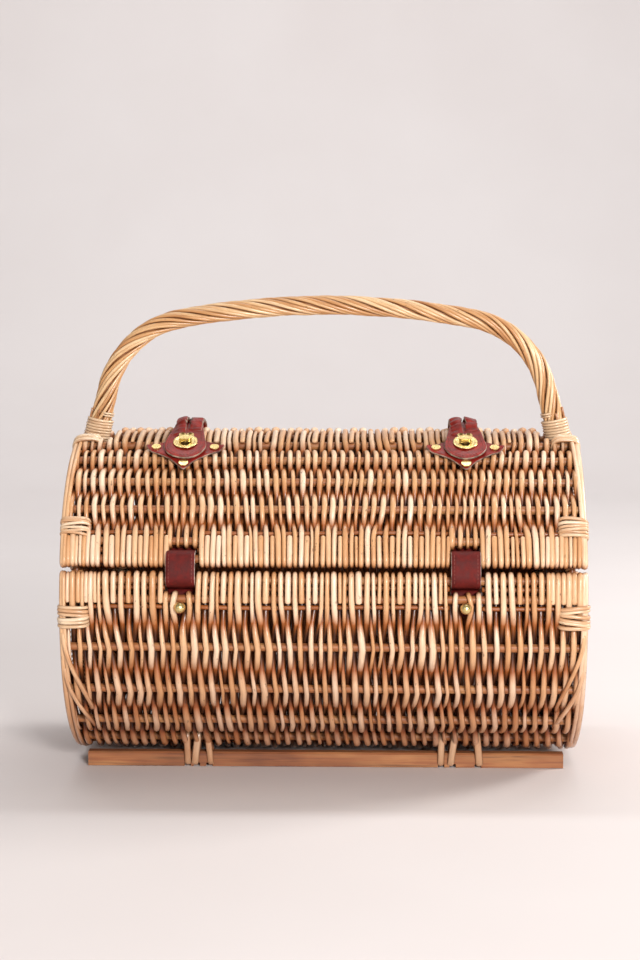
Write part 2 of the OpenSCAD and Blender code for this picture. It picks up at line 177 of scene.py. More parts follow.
class Gathered:
    """Gathers grids of points, ring after ring, and makes one mesh of them all."""

    def __init__(self):
        self.co, self.quads, self.tris, self.numbers = [], [], [], {}
        self.count = 0

    def rings(self, points, closed, way, tips, **numbers):
        """Faces over an (n, m, 3) grid of rings, whose points carry these numbers. Open ends
        are closed by a fan, whose middle carries the numbers in tips."""
        n, m = points.shape[:2]
        total = n * m
        co = points.reshape(-1, 3)
        i = np.arange(n if closed else n - 1)[:, None] * m
        k = np.arange(m)[None]
        a, b = i + k, i + (k + 1) % m
        quads = np.stack([a, b, (b + m) % total, (a + m) % total], axis=-1).reshape(-1, 4)
        self.quads.append(quads[:, ::way] + self.count)
        if not closed:
            co = np.vstack([co, points[0].mean(0), points[-1].mean(0)])
            here, after = (k[0], (k[0] + 1) % m)[::-way]
            last = total - m
            self.tris += [np.stack([here, after, np.full(m, total)], -1) + self.count,
                          np.stack([last + after, last + here, np.full(m, total + 1)], -1) + self.count]
        self.co.append(co)
        self.count += len(co)
        for key, values in numbers.items():
            kind = np.shape(values)[2:]
            flat = np.broadcast_to(values, (n, m, *kind)).reshape(total, *kind)
            if not closed:
                flat = np.concatenate([flat, [tips.get(key, flat[0])], [tips.get(key, flat[-1])]])
            self.numbers.setdefault(key, []).append(flat)

    def make(self, name, material):
        tris = np.concatenate(self.tris) if self.tris else np.zeros((0, 3), int)
        return mesh_piece(name, material, np.concatenate(self.co), np.concatenate(self.quads), tris,
                          {key: np.concatenate(values) for key, values in self.numbers.items()})


def finished(shapes, name, material, body, slot, *nodes):
    """Makes the piece of some tubes or sheets, tied to its body."""
    piece = shapes.make(name, material)
    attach(piece, body)
    if nodes:
        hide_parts(*nodes)


TIP, BLUNT = 0.3, 0.75  # how far a tube's cut end stands out and how wide it is, in radii
FIBRE_R = 2.2  # radius at which the fibres are laid out round a tube
GRAIN_SPAN, GRAIN_SHIFT = 4000, 500  # how widely the tubes' fibre patterns are spread out


class Tubes(Gathered):
    """Swept tubes. Each point keeps its tube's tone, how far out of the weave it lies, how
    far it faces outwards and where it is in the fibres."""

    def __init__(self, seed):
        super().__init__()
        self.rng = np.random.default_rng(seed)

    def add(self, path, radius, ref, tone=None, out=1.0, sides=8, outward=None, closed=False, flat=1.0):
        """Sweeps a tube of this many sides along a path. Its rings are set by ref, which is
        across the path; flat under 1 thins it in ref's direction."""
        p = np.asarray(path, float)
        n = len(p)
        radius, out = np.zeros(n) + radius, np.zeros(n) + out
        t = unit(np.roll(p, -1, 0) - np.roll(p, 1, 0) if closed else np.gradient(p, axis=0))
        side = unit(np.cross(t, np.zeros((n, 3)) + ref))
        up = np.cross(side, t)
        outward = side if outward is None else unit(np.zeros((n, 3)) + outward)
        if not closed:  # short ends that turn over to a blunt cut
            p = np.vstack([p[0] - t[0] * radius[0] * TIP, p, p[-1] + t[-1] * radius[-1] * TIP])
            side, up, outward = (np.vstack([v[:1], v, v[-1:]]) for v in (side, up, outward))
            radius = np.concatenate([radius[:1] * BLUNT, radius, radius[-1:] * BLUNT])
            out = np.concatenate([out[:1], out, out[-1:]])
            n += 2
        phi = np.arange(sides) * 2 * math.pi / sides
        c, s = np.cos(phi), np.sin(phi)
        ring = c[None, :, None] * side[:, None] + s[None, :, None] * up[:, None]
        offset = ring - (1 - flat) * s[None, :, None] * up[:, None]
        if tone is None:
            tone = self.rng.uniform()
        along = lengths(p) + self.rng.uniform(0, GRAIN_SPAN)
        shift = self.rng.uniform(0, GRAIN_SHIFT)
        grain = np.stack(np.broadcast_arrays(c * FIBRE_R + shift, s * FIBRE_R, along[:, None]), axis=-1)
        self.rings(p[:, None] + radius[:, None, None] * offset, closed, -1, {"face": 0.3},
                   tone=np.full((n, sides), tone), out=out[:, None],
                   face=(ring * outward[:, None]).sum(-1), grain=grain)


class Sheets(Gathered):
    """Thin plates and bands; each point's cut is 1 along the cut edges."""

    def plate(self, outer, inner, thickness, place, rings=10, lift=None):
        """A plate between its hole's outline and its outer outline, both (n, 2) and turning the
        same way; lift gives the height of its underside."""
        along = outer - inner
        direction = unit(along)
        soft = min(0.4 * thickness, 0.8)
        share = np.linspace(0, 1, rings)
        top = [inner + direction * soft + (along - 2 * soft * direction) * s for s in share]
        loop = [(inner, 0.3, 1.0), (inner, 0.7, 1.0)] + [(q, 1.0, 0.0) for q in top]
        loop += [(outer, 0.72, 1.0), (outer, 0.28, 1.0)] + [(q, 0.0, 0.0) for q in top[::-1]]
        sections, cut = [], []
        for flat, share_up, is_cut in loop:
            base = 0.0 if lift is None else lift(flat[:, 0], flat[:, 1])
            sections.append(place(flat[:, 0], flat[:, 1], base + thickness * share_up))
            cut.append(is_cut)
        self.rings(np.stack(sections, axis=1)[:, ::-1], True, 1, {}, cut=np.array(cut)[None, ::-1])

    def band(self, path, normal, width, thickness, across=X_AXIS, bulge=0.0, columns=7):
        """A strip along a path; it is across wide and its upper face looks along normal."""
        width, thickness = np.zeros(len(path)) + width, np.zeros(len(path)) + thickness
        share = np.linspace(-1, 1, columns)
        soft = np.minimum(0.4 * thickness, 0.8)
        loop = [((width / 2 - soft) * u, thickness * (0.5 + bulge * (1 - u * u)), 0.0) for u in share]
        loop += [(width / 2, thickness * 0.22, 1.0), (width / 2, -thickness * 0.22, 1.0)]
        loop += [((width / 2 - soft) * u, -thickness * 0.5, 0.0) for u in share[::-1]]
        loop += [(-width / 2, -thickness * 0.22, 1.0), (-width / 2, thickness * 0.22, 1.0)]
        points = np.stack([path + across * w[:, None] + normal * h[:, None] for w, h, _ in loop], axis=1)
        self.rings(points[:, ::-1], False, 1, {"cut": 1.0}, cut=np.array([[c for _, _, c in loop]])[:, ::-1])


# ---- materials ----

class Shader:
    """A node tree for one procedural material, with short calls for the usual nodes."""

    def __init__(self, name):
        self.material = bpy.data.materials.new(name)
        self.material.use_nodes = True
        self.tree = self.material.node_tree
        self.bsdf = self.tree.nodes["Principled BSDF"]

    def node(self, kind, **inputs):
        made = self.tree.nodes.new(kind)
        for key, value in inputs.items():
            self.link(value, made.inputs[key])
        return made

    def link(self, value, socket):
        if isinstance(value, bpy.types.NodeSocket):
            self.tree.links.new(value, socket)
        else:
            socket.default_value = value

    def attribute(self, name, vector=False):
        made = self.tree.nodes.new("ShaderNodeAttribute")
        made.attribute_name = name
        return made.outputs["Vector" if vector else "Fac"]

    def coordinates(self):
        return self.tree.nodes.new("ShaderNodeTexCoord").outputs["Object"]

    def noise(self, vector, scale, detail=4.0, roughness=0.6, distortion=0.0):
        """scale is one number, or one for each direction where the pattern is stretched."""
        if isinstance(scale, tuple):
            vector = self.node("ShaderNodeMapping", Vector=vector, Scale=scale).outputs["Vector"]
            scale = 1.0
        return self.node("ShaderNodeTexNoise", Vector=vector, Scale=scale, Detail=detail,
                         Roughness=roughness, Distortion=distortion).outputs["Fac"]

    def maths(self, operation, a, b=0.0, clamp=False):
        made = self.tree.nodes.new("ShaderNodeMath")
        made.operation = operation
        made.use_clamp = clamp
        self.link(a, made.inputs[0])
        self.link(b, made.inputs[1])
        return made.outputs[0]

    def remap(self, value, low, high, to_low=0.0, to_high=1.0):
        made = self.node("ShaderNodeMapRange", Value=value)
        for key, number in (("From Min", low), ("From Max", high), ("To Min", to_low), ("To Max", to_high)):
            made.inputs[key].default_value = number
        return made.outputs["Result"]

    def ramp(self, value, *stops):
        made = self.node("ShaderNodeValToRGB", Fac=value)
        ramp = made.color_ramp
        while len(ramp.elements) < len(stops):
            ramp.elements.new(0.5)
        for element, (place, shade) in zip(ramp.elements, stops):
            element.position = place
            element.color = colour(shade)
        return made.outputs["Color"]

    def mix(self, fac, a, b, blend="MIX"):
        made = self.tree.nodes.new("ShaderNodeMix")
        made.data_type = "RGBA"
        made.blend_type = blend
        self.link(fac, made.inputs[0])
        self.link(colour(a) if isinstance(a, str) else a, made.inputs[6])
        self.link(colour(b) if isinstance(b, str) else b, made.inputs[7])
        return made.outputs[2]

    def bump(self, height, strength, distance=0.0004):
        made = self.node("ShaderNodeBump", Height=height, Strength=strength, Distance=distance)
        self.link(made.outputs["Normal"], self.bsdf.inputs["Normal"])

    def surface(self, **inputs):
        for key, value in inputs.items():
            self.link(colour(value) if isinstance(value, str) else value,
                      self.bsdf.inputs[key.replace("_", " ")])
        return self.material


def colour(code):
    """Linear colour of a hex code."""
    parts = [int(code[i:i + 2], 16) / 255 for i in (1, 3, 5)]
    return [c / 12.92 if c <= 0.04045 else ((c + 0.055) / 1.055) ** 2.4 for c in parts] + [1.0]


def willow(name, tones, shade_brown, dark, rough, coat, side_shade=0.85):
    """Peeled, buffed willow: a tone for each strand and fibres along it, with painted shade:
    browner and darker where it dives and down its sides, and darker low down on the basket."""
    s = Shader(name)
    grain = s.attribute("grain", True)
    fibre = s.noise(grain, (1.3, 1.3, 0.05), 5.0, 0.65)
    blotch = s.noise(grain, (0.12, 0.12, 0.035), 3.0, 0.55)
    tone = s.maths("ADD", s.maths("MULTIPLY", s.attribute("tone"), 0.55),
                   s.maths("MULTIPLY", blotch, 0.5), clamp=True)
    base = s.ramp(tone, *tones)
    uneven = s.maths("MULTIPLY", s.maths("SUBTRACT", blotch, 0.5), 0.9)
    depth = s.maths("ADD", s.attribute("out"), uneven)
    # painted shade: browner, then dark, where the strand dives under the weave and its out falls
    dive_shaded = s.mix(s.remap(depth, 0.85, 0.05), base, shade_brown)
    inner = s.mix(s.remap(depth, 0.15, -0.8, 0.0, 0.92), dive_shaded, dark)
    # painted shade: darker and browner down the strand's sides, where it faces away from the outside
    side = s.maths("ADD", s.attribute("face"), s.maths("MULTIPLY", uneven, 0.5))
    side_shaded = s.mix(s.remap(side, 0.72, -0.2, 0.0, side_shade), inner, s.mix(0.4, shade_brown, dark))
    streaked = s.mix(s.remap(fibre, 0.4, 0.75, 0.0, 0.4), side_shaded, s.mix(0.7, side_shaded, dark, "MULTIPLY"))
    fleck = s.noise(grain, (0.5, 0.5, 0.22), 2.0, 0.5)
    spotted = s.mix(s.remap(fleck, 0.68, 0.76, 0.0, 0.7), streaked, dark)
    # painted shade: darker and browner towards the bottom of the basket
    height = s.node("ShaderNodeSeparateXYZ", Vector=s.coordinates())
    low_shade = s.remap(height.outputs["Z"], 0.025, 0.13, 0.55, 0.0)
    low_shaded = s.mix(low_shade, spotted, s.mix(0.9, spotted, shade_brown, "MULTIPLY"))
    s.bump(s.maths("ADD", fibre, s.maths("MULTIPLY", blotch, 0.6)), 0.3)
    return s.surface(Base_Color=low_shaded, Roughness=s.remap(fibre, 0.2, 0.8, rough - 0.08, rough + 0.14),
                     Coat_Weight=coat, Coat_Roughness=0.2)


def rod_willow(name, tones, dark):
    """Browner rods along the barrel, their fibres along X."""
    s = Shader(name)
    where = s.coordinates()
    fibre = s.noise(where, (30, 900, 900), 5.0, 0.6)
    blotch = s.noise(where, (22, 60, 60), 3.0, 0.6)
    base = s.mix(s.remap(fibre, 0.4, 0.75, 0.0, 0.55), s.ramp(blotch, *tones), dark)
    s.bump(fibre, 0.4)
    return s.surface(Base_Color=base, Roughness=s.remap(fibre, 0.2, 0.8, 0.42, 0.6), Coat_Weight=0.1,
                     Coat_Roughness=0.3)


def board(name, tones, dark):
    """Stained strip of wood with long grain along X and small dents."""
    s = Shader(name)
    where = s.coordinates()
    grain = s.noise(where, (8, 330, 330), 6.0, 0.62, 0.3)
    patch = s.noise(where, (14, 40, 40), 3.0, 0.55)
    base = s.ramp(s.maths("ADD", s.maths("MULTIPLY", grain, 0.6), s.maths("MULTIPLY", patch, 0.4)), *tones)
    lined = s.mix(s.remap(grain, 0.5, 0.64, 0.0, 0.7), base, dark)
    s.bump(grain, 0.45)
    return s.surface(Base_Color=lined, Roughness=s.remap(grain, 0.3, 0.7, 0.5, 0.68))


def leather(name, tones, dark, raw, rough, wax):
    """Smooth oxblood leather with fine pores and a waxed sheen, and its raw cut edges."""
    s = Shader(name)
    where = s.coordinates()
    pores = s.node("ShaderNodeTexVoronoi", Vector=where, Scale=2300.0)
    cloud = s.noise(where, 160.0, 4.0, 0.6)
    crease = s.noise(where, (500, 300, 300), 6.0, 0.7)
    base = s.mix(s.remap(crease, 0.5, 0.75, 0.0, 0.55), s.ramp(cloud, *tones), dark)
    edge = s.maths("ADD", s.attribute("cut"), s.maths("MULTIPLY", s.maths("SUBTRACT", crease, 0.5), 0.5))
    edged = s.mix(s.remap(edge, 0.35, 0.8), base, s.mix(s.remap(cloud, 0.35, 0.65), *raw))
    s.bump(s.maths("ADD", pores.outputs["Distance"], crease), 0.22, 0.0003)
    return s.surface(Base_Color=edged, Roughness=s.remap(cloud, 0.3, 0.7, rough - 0.07, rough + 0.12),
                     Coat_Weight=wax, Coat_Roughness=0.25, Specular_IOR_Level=0.25)


def metal(name, shade, dull, rough):
    """Polished plated brass with faint clouding and scratches."""
    s = Shader(name)
    where = s.coordinates()
    cloud = s.noise(where, 240.0, 4.0, 0.6)
    scratch = s.noise(where, (2400, 260, 260), 3.0, 0.6)
    base = s.mix(s.remap(cloud, 0.4, 0.75, 0.0, 0.5), shade, dull)
    s.bump(scratch, 0.06, 0.0002)
    return s.surface(Base_Color=base, Metallic=1.0,
                     Roughness=s.remap(s.maths("ADD", cloud, scratch), 0.6, 1.4, rough - 0.05, rough + 0.16))


def plain(name, shade, rough, cloudy="#ffffff"):
    """Matt, faintly clouded surface."""
    s = Shader(name)
    cloud = s.noise(s.coordinates(), 3.0, 3.0, 0.5)
    return s.surface(Base_Color=s.mix(s.remap(cloud, 0.3, 0.7, 0.0, 0.06), shade, cloudy), Roughness=rough)


STRAND = willow("willow_strand",
                ((0.05, "#c08350"), (0.35, "#d8a472"), (0.6, "#e8be94"), (0.9, "#f7dfc4")),
                "#a85c22", "#341406", rough=0.44, coat=0.42, side_shade=0.95)
HANDLE_ROD = willow("handle_willow",
                    ((0.05, "#b37843"), (0.4, "#cf9c66"), (0.7, "#e1ba89"), (0.95, "#f1d7b0")),
                    "#a05c26", "#46210c", rough=0.34, coat=0.4, side_shade=0.95)
CANE = willow("pale_cane",
              ((0.05, "#b98255"), (0.4, "#d3a378"), (0.7, "#e6c6a0"), (0.95, "#f2dcc0")),
              "#a0632f", "#522c14", rough=0.34, coat=0.4)
ROD = rod_willow("willow_rod", ((0.3, "#8d4f28"), (0.5, "#a8683a"), (0.7, "#bf8954")), "#582c13")
RUNNER = board("runner_wood", ((0.4, "#6f3f26"), (0.5, "#945a34"), (0.6, "#b47c4c")), "#4a2514")
LEATHER = leather("oxblood_leather", ((0.3, "#64150d"), (0.55, "#861d13"), (0.75, "#a42c1d")), "#360905",
                  ("#4d3b34", "#a8917f"), rough=0.42, wax=0.1)
# the straps' leather: the tab's oxblood leather made darker as painted shade for the upright straps, its raw
# cut edges paler than the tab's as a painted highlight
SHADED_STRAP_LEATHER = leather("painted_dark_strap_leather", ((0.3, "#4c0d09"), (0.55, "#5e120d"), (0.75, "#701b13")), "#2c0705",
                        ("#6b564c", "#d8c6bb"), rough=0.62, wax=0.0)
THREAD = plain("dull_red_thread", "#7c3a30", 0.7, "#a8685a")
BRASS = metal("pale_brass", "#f0d998", "#b8964e", 0.24)
# much darker brass, used only on the eyelet's rivets
DARK_BRASS = metal("darkened_brass", "#6b5526", "#3a2b12", 0.35)


# ---- walls ----

def weave_run(rods, sign, steps=8):
    """Angle, swing and even swing of a strand over and under a run of rods; sign is +1 for
    over the first. The even swing changes at a steady rate from rod to rod."""
    rows = []
    for k in range(len(rods) - 1):
        for j in range(steps):
            c = math.cos(math.pi * j / steps)
            rows.append((rods[k] + (rods[k + 1] - rods[k]) * j / steps,
                         sign * (-1) ** k * math.copysign(abs(c) ** 0.85, c),
                         sign * (-1) ** k * (1 - 2 * j / steps)))
    last = sign * (-1) ** (len(rods) - 1)
    rows.append((rods[-1], last, last))
    return np.array(rows)


def hook(rim, towards, outside_first, steps=11, reach=HOOK_REACH, depth=HOOK_R):
    """Points (y, z, swing) of the squarish half turn round a rim rod, on the side of
    increasing angle if towards is +1."""
    phi = np.linspace(0, math.pi, steps)
    if not outside_first:
        phi = phi[::-1]
    c, s = squarish(phi, 2.7)
    a = math.radians(rim)
    y, z = polar(MID, rim)
    out, along = depth * c, towards * reach * s
    return np.stack([y - out * math.cos(a) + along * math.sin(a),
                     z + out * math.sin(a) + along * math.cos(a), np.cos(phi)], axis=-1)


def on_wall(angles, swings, reach=SWING):
    y, z = polar(MID + reach * np.asarray(swings, float), np.asarray(angles, float))
    return np.stack([y, z, np.asarray(swings, float)], axis=-1)


def rim_end(rim, rod, way, sign, returns):
    """The end of a strand past its last rod, going away from the weave in direction way."""
    if rim is None:  # it hooks over the last rod itself
        if sign > 0:
            over = hook(rod, way, True, steps=9, reach=4.9, depth=5.0)
            return np.vstack([over[1:], on_wall([rod - way * 4], [-0.9])])
        return on_wall([rod + way * 1.2], [-0.95])
    span = rim - rod
    if sign < 0:
        if not returns:  # it ends inside, short of the rim
            return on_wall([rod + span * 0.4, rod + span * 0.8], [-1, -1.02])
        inside = on_wall([rod + span * 0.5], [-1])
        over = on_wall([rod + span * 0.5, rod + span * 0.1, rod - way * 0.5, rod - way * 0.9],
                       [1.0, 1.0, 0.93, 0.86])
        return np.vstack([inside, hook(rim, way, False), over])
    rise = np.array([0.25, 0.5, 0.75])
    swing = np.ones(3) if sign > 0 else -np.cos(math.pi * rise)
    tail = on_wall([rim - way * 2.6], [-1.0])
    return np.vstack([on_wall(rod + span * rise, swing), hook(rim, way, True), tail])


def strand_profile(rods, sign, seam, top):
    """A strand's (y, z, swing, even swing) points from its first end to its last. seam and top
    each give the rim rod's angle, or None where there is no rim, and whether an inner end
    turns back over it."""
    way = math.copysign(1, rods[1] - rods[0])
    run = weave_run(rods, sign)
    first = rim_end(seam[0], rods[0], -way, sign, seam[1])[::-1]
    last = rim_end(top[0], rods[-1], way, sign * (-1) ** (len(rods) - 1), top[1])
    points = np.vstack([first, on_wall(run[:, 0], run[:, 1]), last])
    even = np.concatenate([np.full(len(first), run[0, 2]), run[:, 2], np.full(len(last), run[-1, 2])])
    return np.column_stack([points, even])


class Wander:
    """A slow random field over the wall, shared by neighbouring strands."""

    def __init__(self, seed, size):
        rng = np.random.default_rng(seed)
        self.waves = [(rng.uniform(0.008, 0.06), rng.uniform(-0.09, 0.09), rng.uniform(0, 6.3),
                       size * rng.uniform(0.3, 0.6)) for _ in range(7)]

    def at(self, x, a):
        return sum(size * np.sin(kx * x + ka * a + phase) for kx, ka, phase, size in self.waves)


BACK = (-120, -80)  # angles between which the close weave of the back gives way to the front's
BACK_DRIFT, BACK_THICKNESS = 0.25, 1.38  # there the strands wander less and are thicker
THIN_SHARE = 0.18  # share of strands that are much thinner than the rest
# how far strands part at a ball stud, within what distance along X and about how many degrees
STUD_SPREAD, STUD_X, STUD_TURN = 4.2, 11, 5.0


class Wall:
    """How one woven wall's strands run, from the rim at the seam to the rim at the top."""

    def __init__(self, seed, rods, seam_rim, top_rim, strands, radius, kink, lean, returning):
        """kink and lean are how far strands shift sideways where they pass a rod and between
        rods; returning is the share of inner ends that turn back over the seam's rim."""
        self.seed, self.rods, self.seam_rim, self.top_rim = seed, rods, seam_rim, top_rim
        self.strands, self.radius, self.kink, self.lean = strands, radius, kink, lean
        self.way = math.copysign(1, rods[1] - rods[0])
        self.drift, self.kinks, self.leans = Wander(seed, 1.0), Wander(seed + 1, 0.8), Wander(seed + 2, 0.5)
        rng = np.random.default_rng(seed)
        thin = rng.uniform(size=strands) < THIN_SHARE
        self.sizes = np.where(thin, rng.uniform(0.62, 0.8, strands), rng.uniform(0.92, 1.2, strands))
        self.places = packed(self.sizes, radius - WALL_HALF, WALL_HALF - radius)
        self.over_first = np.arange(strands) % 2 == 1
        self.window = abs(abs(self.places) - STRAP_X) < STRAP_HALF + 1.0
        self.notched = abs(self.places) > RIM_HALF + 0.5
        self.bound = abs(self.places) > EDGE_IN
        self.returns = spread(rng, ~self.over_first & ~self.window, returning) | self.bound | self.notched
        self.over_last = self.over_first == (len(rods) % 2 == 1)
        self.returns_top = spread(rng, ~self.over_last & ~self.notched, 0.25)
        self.seam_shift = self.repacked(~self.window & (self.over_first | self.returns))
        self.top_shift = self.repacked(~self.notched & (self.over_last | self.returns_top))

    def repacked(self, shown):
        """How far each strand moves along X so that those shown at a rim fill it evenly."""
        shift = np.zeros(self.strands)
        start = 0
        gaps = np.flatnonzero(self.window | self.notched)
        for stop in [*gaps, self.strands]:
            run = np.arange(start, stop)
            kept = run[shown[run]]
            if len(kept) > 2:
                target = packed(self.sizes[kept], self.places[run[0]], self.places[run[-1]])
                shift[run] = np.interp(self.places[run], self.places[kept], target - self.places[kept])
                shift[run] -= np.convolve(np.pad(shift[run], 10, "edge"), np.ones(21) / 21, "valid")
            start = stop + 1
        return shift

    def line(self, i, profile, rng):
        """Puts a strand's profile at its place along the barrel."""
        y, z, swing, even = profile.T
        x = self.places[i]
        a = np.degrees(np.unwrap(np.arctan2(z - AXIS_Z, -y)))
        free = np.clip((EDGE_OUT - abs(x)) / 30, 0, 1) * np.interp(a, BACK, [BACK_DRIFT, 1.0])
        kink = (self.kink + self.kinks.at(x, a)) * even
        slope = np.sign(np.gradient(even)) * (1 - np.abs(even))
        lean = (self.lean + self.leans.at(x, a)) * slope
        knots = np.linspace(a.min(), a.max(), int((a.max() - a.min()) / 14) + 2)
        own = np.interp(a, knots, rng.normal(0, 0.25, len(knots)))
        seam = smooth((self.rods[1] - a) / (self.rods[1] - self.rods[0]))
        top = smooth((a - self.rods[-2]) / (self.rods[-1] - self.rods[-2]))
        line = x + own + free * (self.drift.at(x, a) + kink * (1 - seam) * (1 - top) + lean)
        line = line + seam * self.seam_shift[i] + top * self.top_shift[i]
        for stud_x in (-STRAP_X, STRAP_X):  # strands part round each ball stud
            away = line - stud_x
            near = np.exp(-((a - STUD_ANGLE) / STUD_TURN) ** 2) * np.clip(1 - abs(away) / STUD_X, 0, 1)
            line = line + np.where(away < 0, -1, 1) * near * STUD_SPREAD
        return np.stack([line, y, z], axis=-1)

    def thickness(self, i, profile, rng):
        """Radius along a strand: it tapers slowly and is pinched where strands cross, and the
        wall is closer woven underneath and at the back."""
        t = np.linspace(0, 1, len(profile))
        taper = 1 + 0.09 * np.sin(t * rng.uniform(3, 12) + rng.uniform(0, 6.3))
        a = np.degrees(np.unwrap(np.arctan2(profile[:, 1] - AXIS_Z, -profile[:, 0])))
        close = np.interp(a, BACK, [BACK_THICKNESS, 1.0])
        at_seam = 1 - 0.05 * smooth((self.rods[0] - a) * self.way / 4.0 + 1)
        press = 0.93 + 0.2 * np.abs(profile[:, 2])
        return self.radius * self.sizes[i] * taper * close * at_seam * press

    def pieces(self, name, parts, body, node):
        """The wall's strands, in pieces that follow one another along X."""
        for part in range(parts):
            tubes = Tubes(self.seed + part)
            for i in range(self.strands * part // parts, self.strands * (part + 1) // parts):
                rng = np.random.default_rng(self.seed * 1000 + i)
                seam = (None if self.window[i] else self.seam_rim, bool(self.returns[i]))
                top = (None if self.notched[i] else self.top_rim, bool(self.returns_top[i]))
                profile = strand_profile(self.rods, 1 if self.over_first[i] else -1, seam, top)
                line = self.line(i, profile, rng)
                tubes.add(line, self.thickness(i, profile, rng), X_AXIS, rng.uniform(), profile[:, 2],
                          outward=radial(line))
            finished(tubes, f"{name}_{part + 1}", STRAND, body, "willow", node)


def spread(rng, candidates, share):
    """Picks about this share of the candidates, evenly but not quite regularly."""
    picked = np.zeros(len(candidates), bool)
    due = rng.uniform()
    for i in np.flatnonzero(candidates):
        due += share + rng.uniform(-0.3, 0.3)
        if due >= 1:
            picked[i] = True
            due -= 1
    return picked


def packed(sizes, low, high):
    """Centres of strands of these sizes laid side by side from low to high."""
    place = np.cumsum(sizes + 0.3) - (sizes + 0.3) / 2
    return low + (high - low) * (place - place[0]) / (place[-1] - place[0])


Wall(seed=11, rods=BODY_RODS, seam_rim=BODY_RIM, top_rim=REAR_RIM, strands=98, radius=2.2, kink=1.5,
     lean=-0.2, returning=0.6).pieces("body_strands", 2, "basket", "body_weave")
Wall(seed=23, rods=LID_RODS, seam_rim=LID_RIM, top_rim=TOP_RIM, strands=118, radius=2.0, kink=0.2,
     lean=0.45, returning=0.55).pieces("lid_strands", 1, "lid", "lid_weave")


def rim_rods(name, rim, angles, body):
    """Thin rods laid beside a rim, seen between the strands that wrap it, and the short ends
    that carry it out through the bound edges."""
    tubes = Tubes(53)
    rng = np.random.default_rng(53)
    window = STRAP_HALF + 1.5
    spans = ((-WEAVE_HALF, -STRAP_X - window), (window - STRAP_X, STRAP_X - window),
             (STRAP_X + window, WEAVE_HALF))
    for angle, radius in angles:
        tone = rng.uniform(0.0, 0.3)
        for low, high in spans:
            x = np.linspace(low, high, 30)
            path = spots(x, MID + 0.4 * np.sin(x * 0.05), angle + 0.25 * np.sin(x * 0.03))
            tubes.add(path, radius, Z_AXIS, tone, 0.0, outward=radial(path))
    for side in (-1, 1):
        x = np.linspace(WEAVE_HALF + 0.5, EDGE_OUT - 4, 8)
        path = spots(side * x, MID, rim)
        tubes.add(path, ROD_R, Z_AXIS, 0.3, 0.0, outward=radial(path))
    finished(tubes, name, STRAND, body, "willow_rod")


rim_rods("body_rim_rods", BODY_RIM, ((BODY_RIM - 2.8, 2.3), (BODY_RODS[0] - 2.9, 2.0)), "basket")
rim_rods("lid_rim_rods", LID_RIM, ((LID_RIM + 3.1, 2.4), (LID_RODS[0] + 3.0, 2.0)), "lid")


def edge_strands(side, word, wall, body, seam_rim, far_angle, way, crossings, seed):
    """The strands that close one end of a wall: two that lie along its rim, each looped from
    outside to inside, fillers between them, and some that leave the rim and run slantwise
    in over the weave."""
    tubes = Tubes(seed)
    rng = np.random.default_rng(seed)
    n = max(24, int(abs(far_angle - seam_rim) / 2.5))
    a = np.linspace(seam_rim, far_angle + way * 2.6, n)
    loops = ((2.3, 2.4, HOOK_R - 1.2, 0.4), (1.9, 5.2, HOOK_R + 0.3, 1.3))
    for size, from_edge, depth, sway in loops:
        wobble = 0.4 * np.sin(a * rng.uniform(0.05, 0.12) + rng.uniform(0, 6.3))
        y_out, z_out = polar(MID + depth + wobble, a)
        y_in, z_in = polar(MID - depth + wobble, a)
        seam = hook(seam_rim, -way, False, depth=depth)
        far = hook(far_angle + way * 2.6, way, True, depth=depth)
        loop = np.vstack([
            np.stack([y_in[4::-1], z_in[4::-1], -np.ones(5)], -1), seam[1:-1],
            np.stack([y_out, z_out, np.ones(n)], -1), far[1:-1],
            np.stack([y_in[::-1], z_in[::-1], -np.ones(n)], -1)[:-5]])
        angle = np.arctan2(loop[:, 1], loop[:, 0])
        drift = sway * np.sin(angle * rng.uniform(4, 7) + rng.uniform(0, 6.3))
        x = np.minimum(EDGE_OUT - from_edge + drift, EDGE_OUT - size)
        path = np.stack([x * side, loop[:, 0], loop[:, 1]], -1)
        swell = 1 + 0.08 * np.sin(angle * rng.uniform(4, 9) + rng.uniform(0, 6.3))
        tubes.add(path, size * swell, X_AXIS, rng.uniform(0.2, 0.9), loop[:, 2] * 0.6 + 0.3,
                  outward=radial(path))
    for r in (MID + 1.6, MID - 2.2):
        a = np.linspace(seam_rim - way * 1.0, far_angle + way * 4.0, n)
        path = spots(side * (EDGE_OUT - 2.2), r + 0.2 * np.sin(a * 0.2 + r), a)
        tubes.add(path, 2.0, X_AXIS, rng.uniform(0.1, 0.8), 0.35, outward=X_AXIS * side)
    for start, length in crossings:
        t = np.linspace(0, 1, 24)
        a = start + length * t
        x = EDGE_OUT - 3.5 - 19 * smooth(t) + rng.uniform(-1.0, 1.0) * t
        r = MID + HOOK_R + 2.6 * np.sin(math.pi * np.clip(t * 1.1, 0, 1)) ** 0.7 - 2.5 * t ** 6
        path = spots(side * x, r, a)
        tubes.add(path, rng.uniform(1.8, 2.2), X_AXIS, rng.uniform(0.2, 0.7), 0.8 - 0.5 * t ** 4,
                  outward=radial(path))
    finished(tubes, f"{wall}_{word}_edge_strands", STRAND, body, "willow", f"{wall}_{word}_edge")


# first angle and length in degrees of the strands that leave the edge over the body's weave
CROSSINGS = ((-7, -32), (-20, -30), (-172, 30), (-160, 30))
for side, word in SIDES:
    edge_strands(side, word, "body", "basket", BODY_RIM, NOTCH_REAR + 5, -1, CROSSINGS, 31 + side)
    edge_strands(side, word, "lid", "lid", LID_RIM, NOTCH_FRONT - 5, 1, (), 41 + side)


# ---- bindings round the edge bundles ----

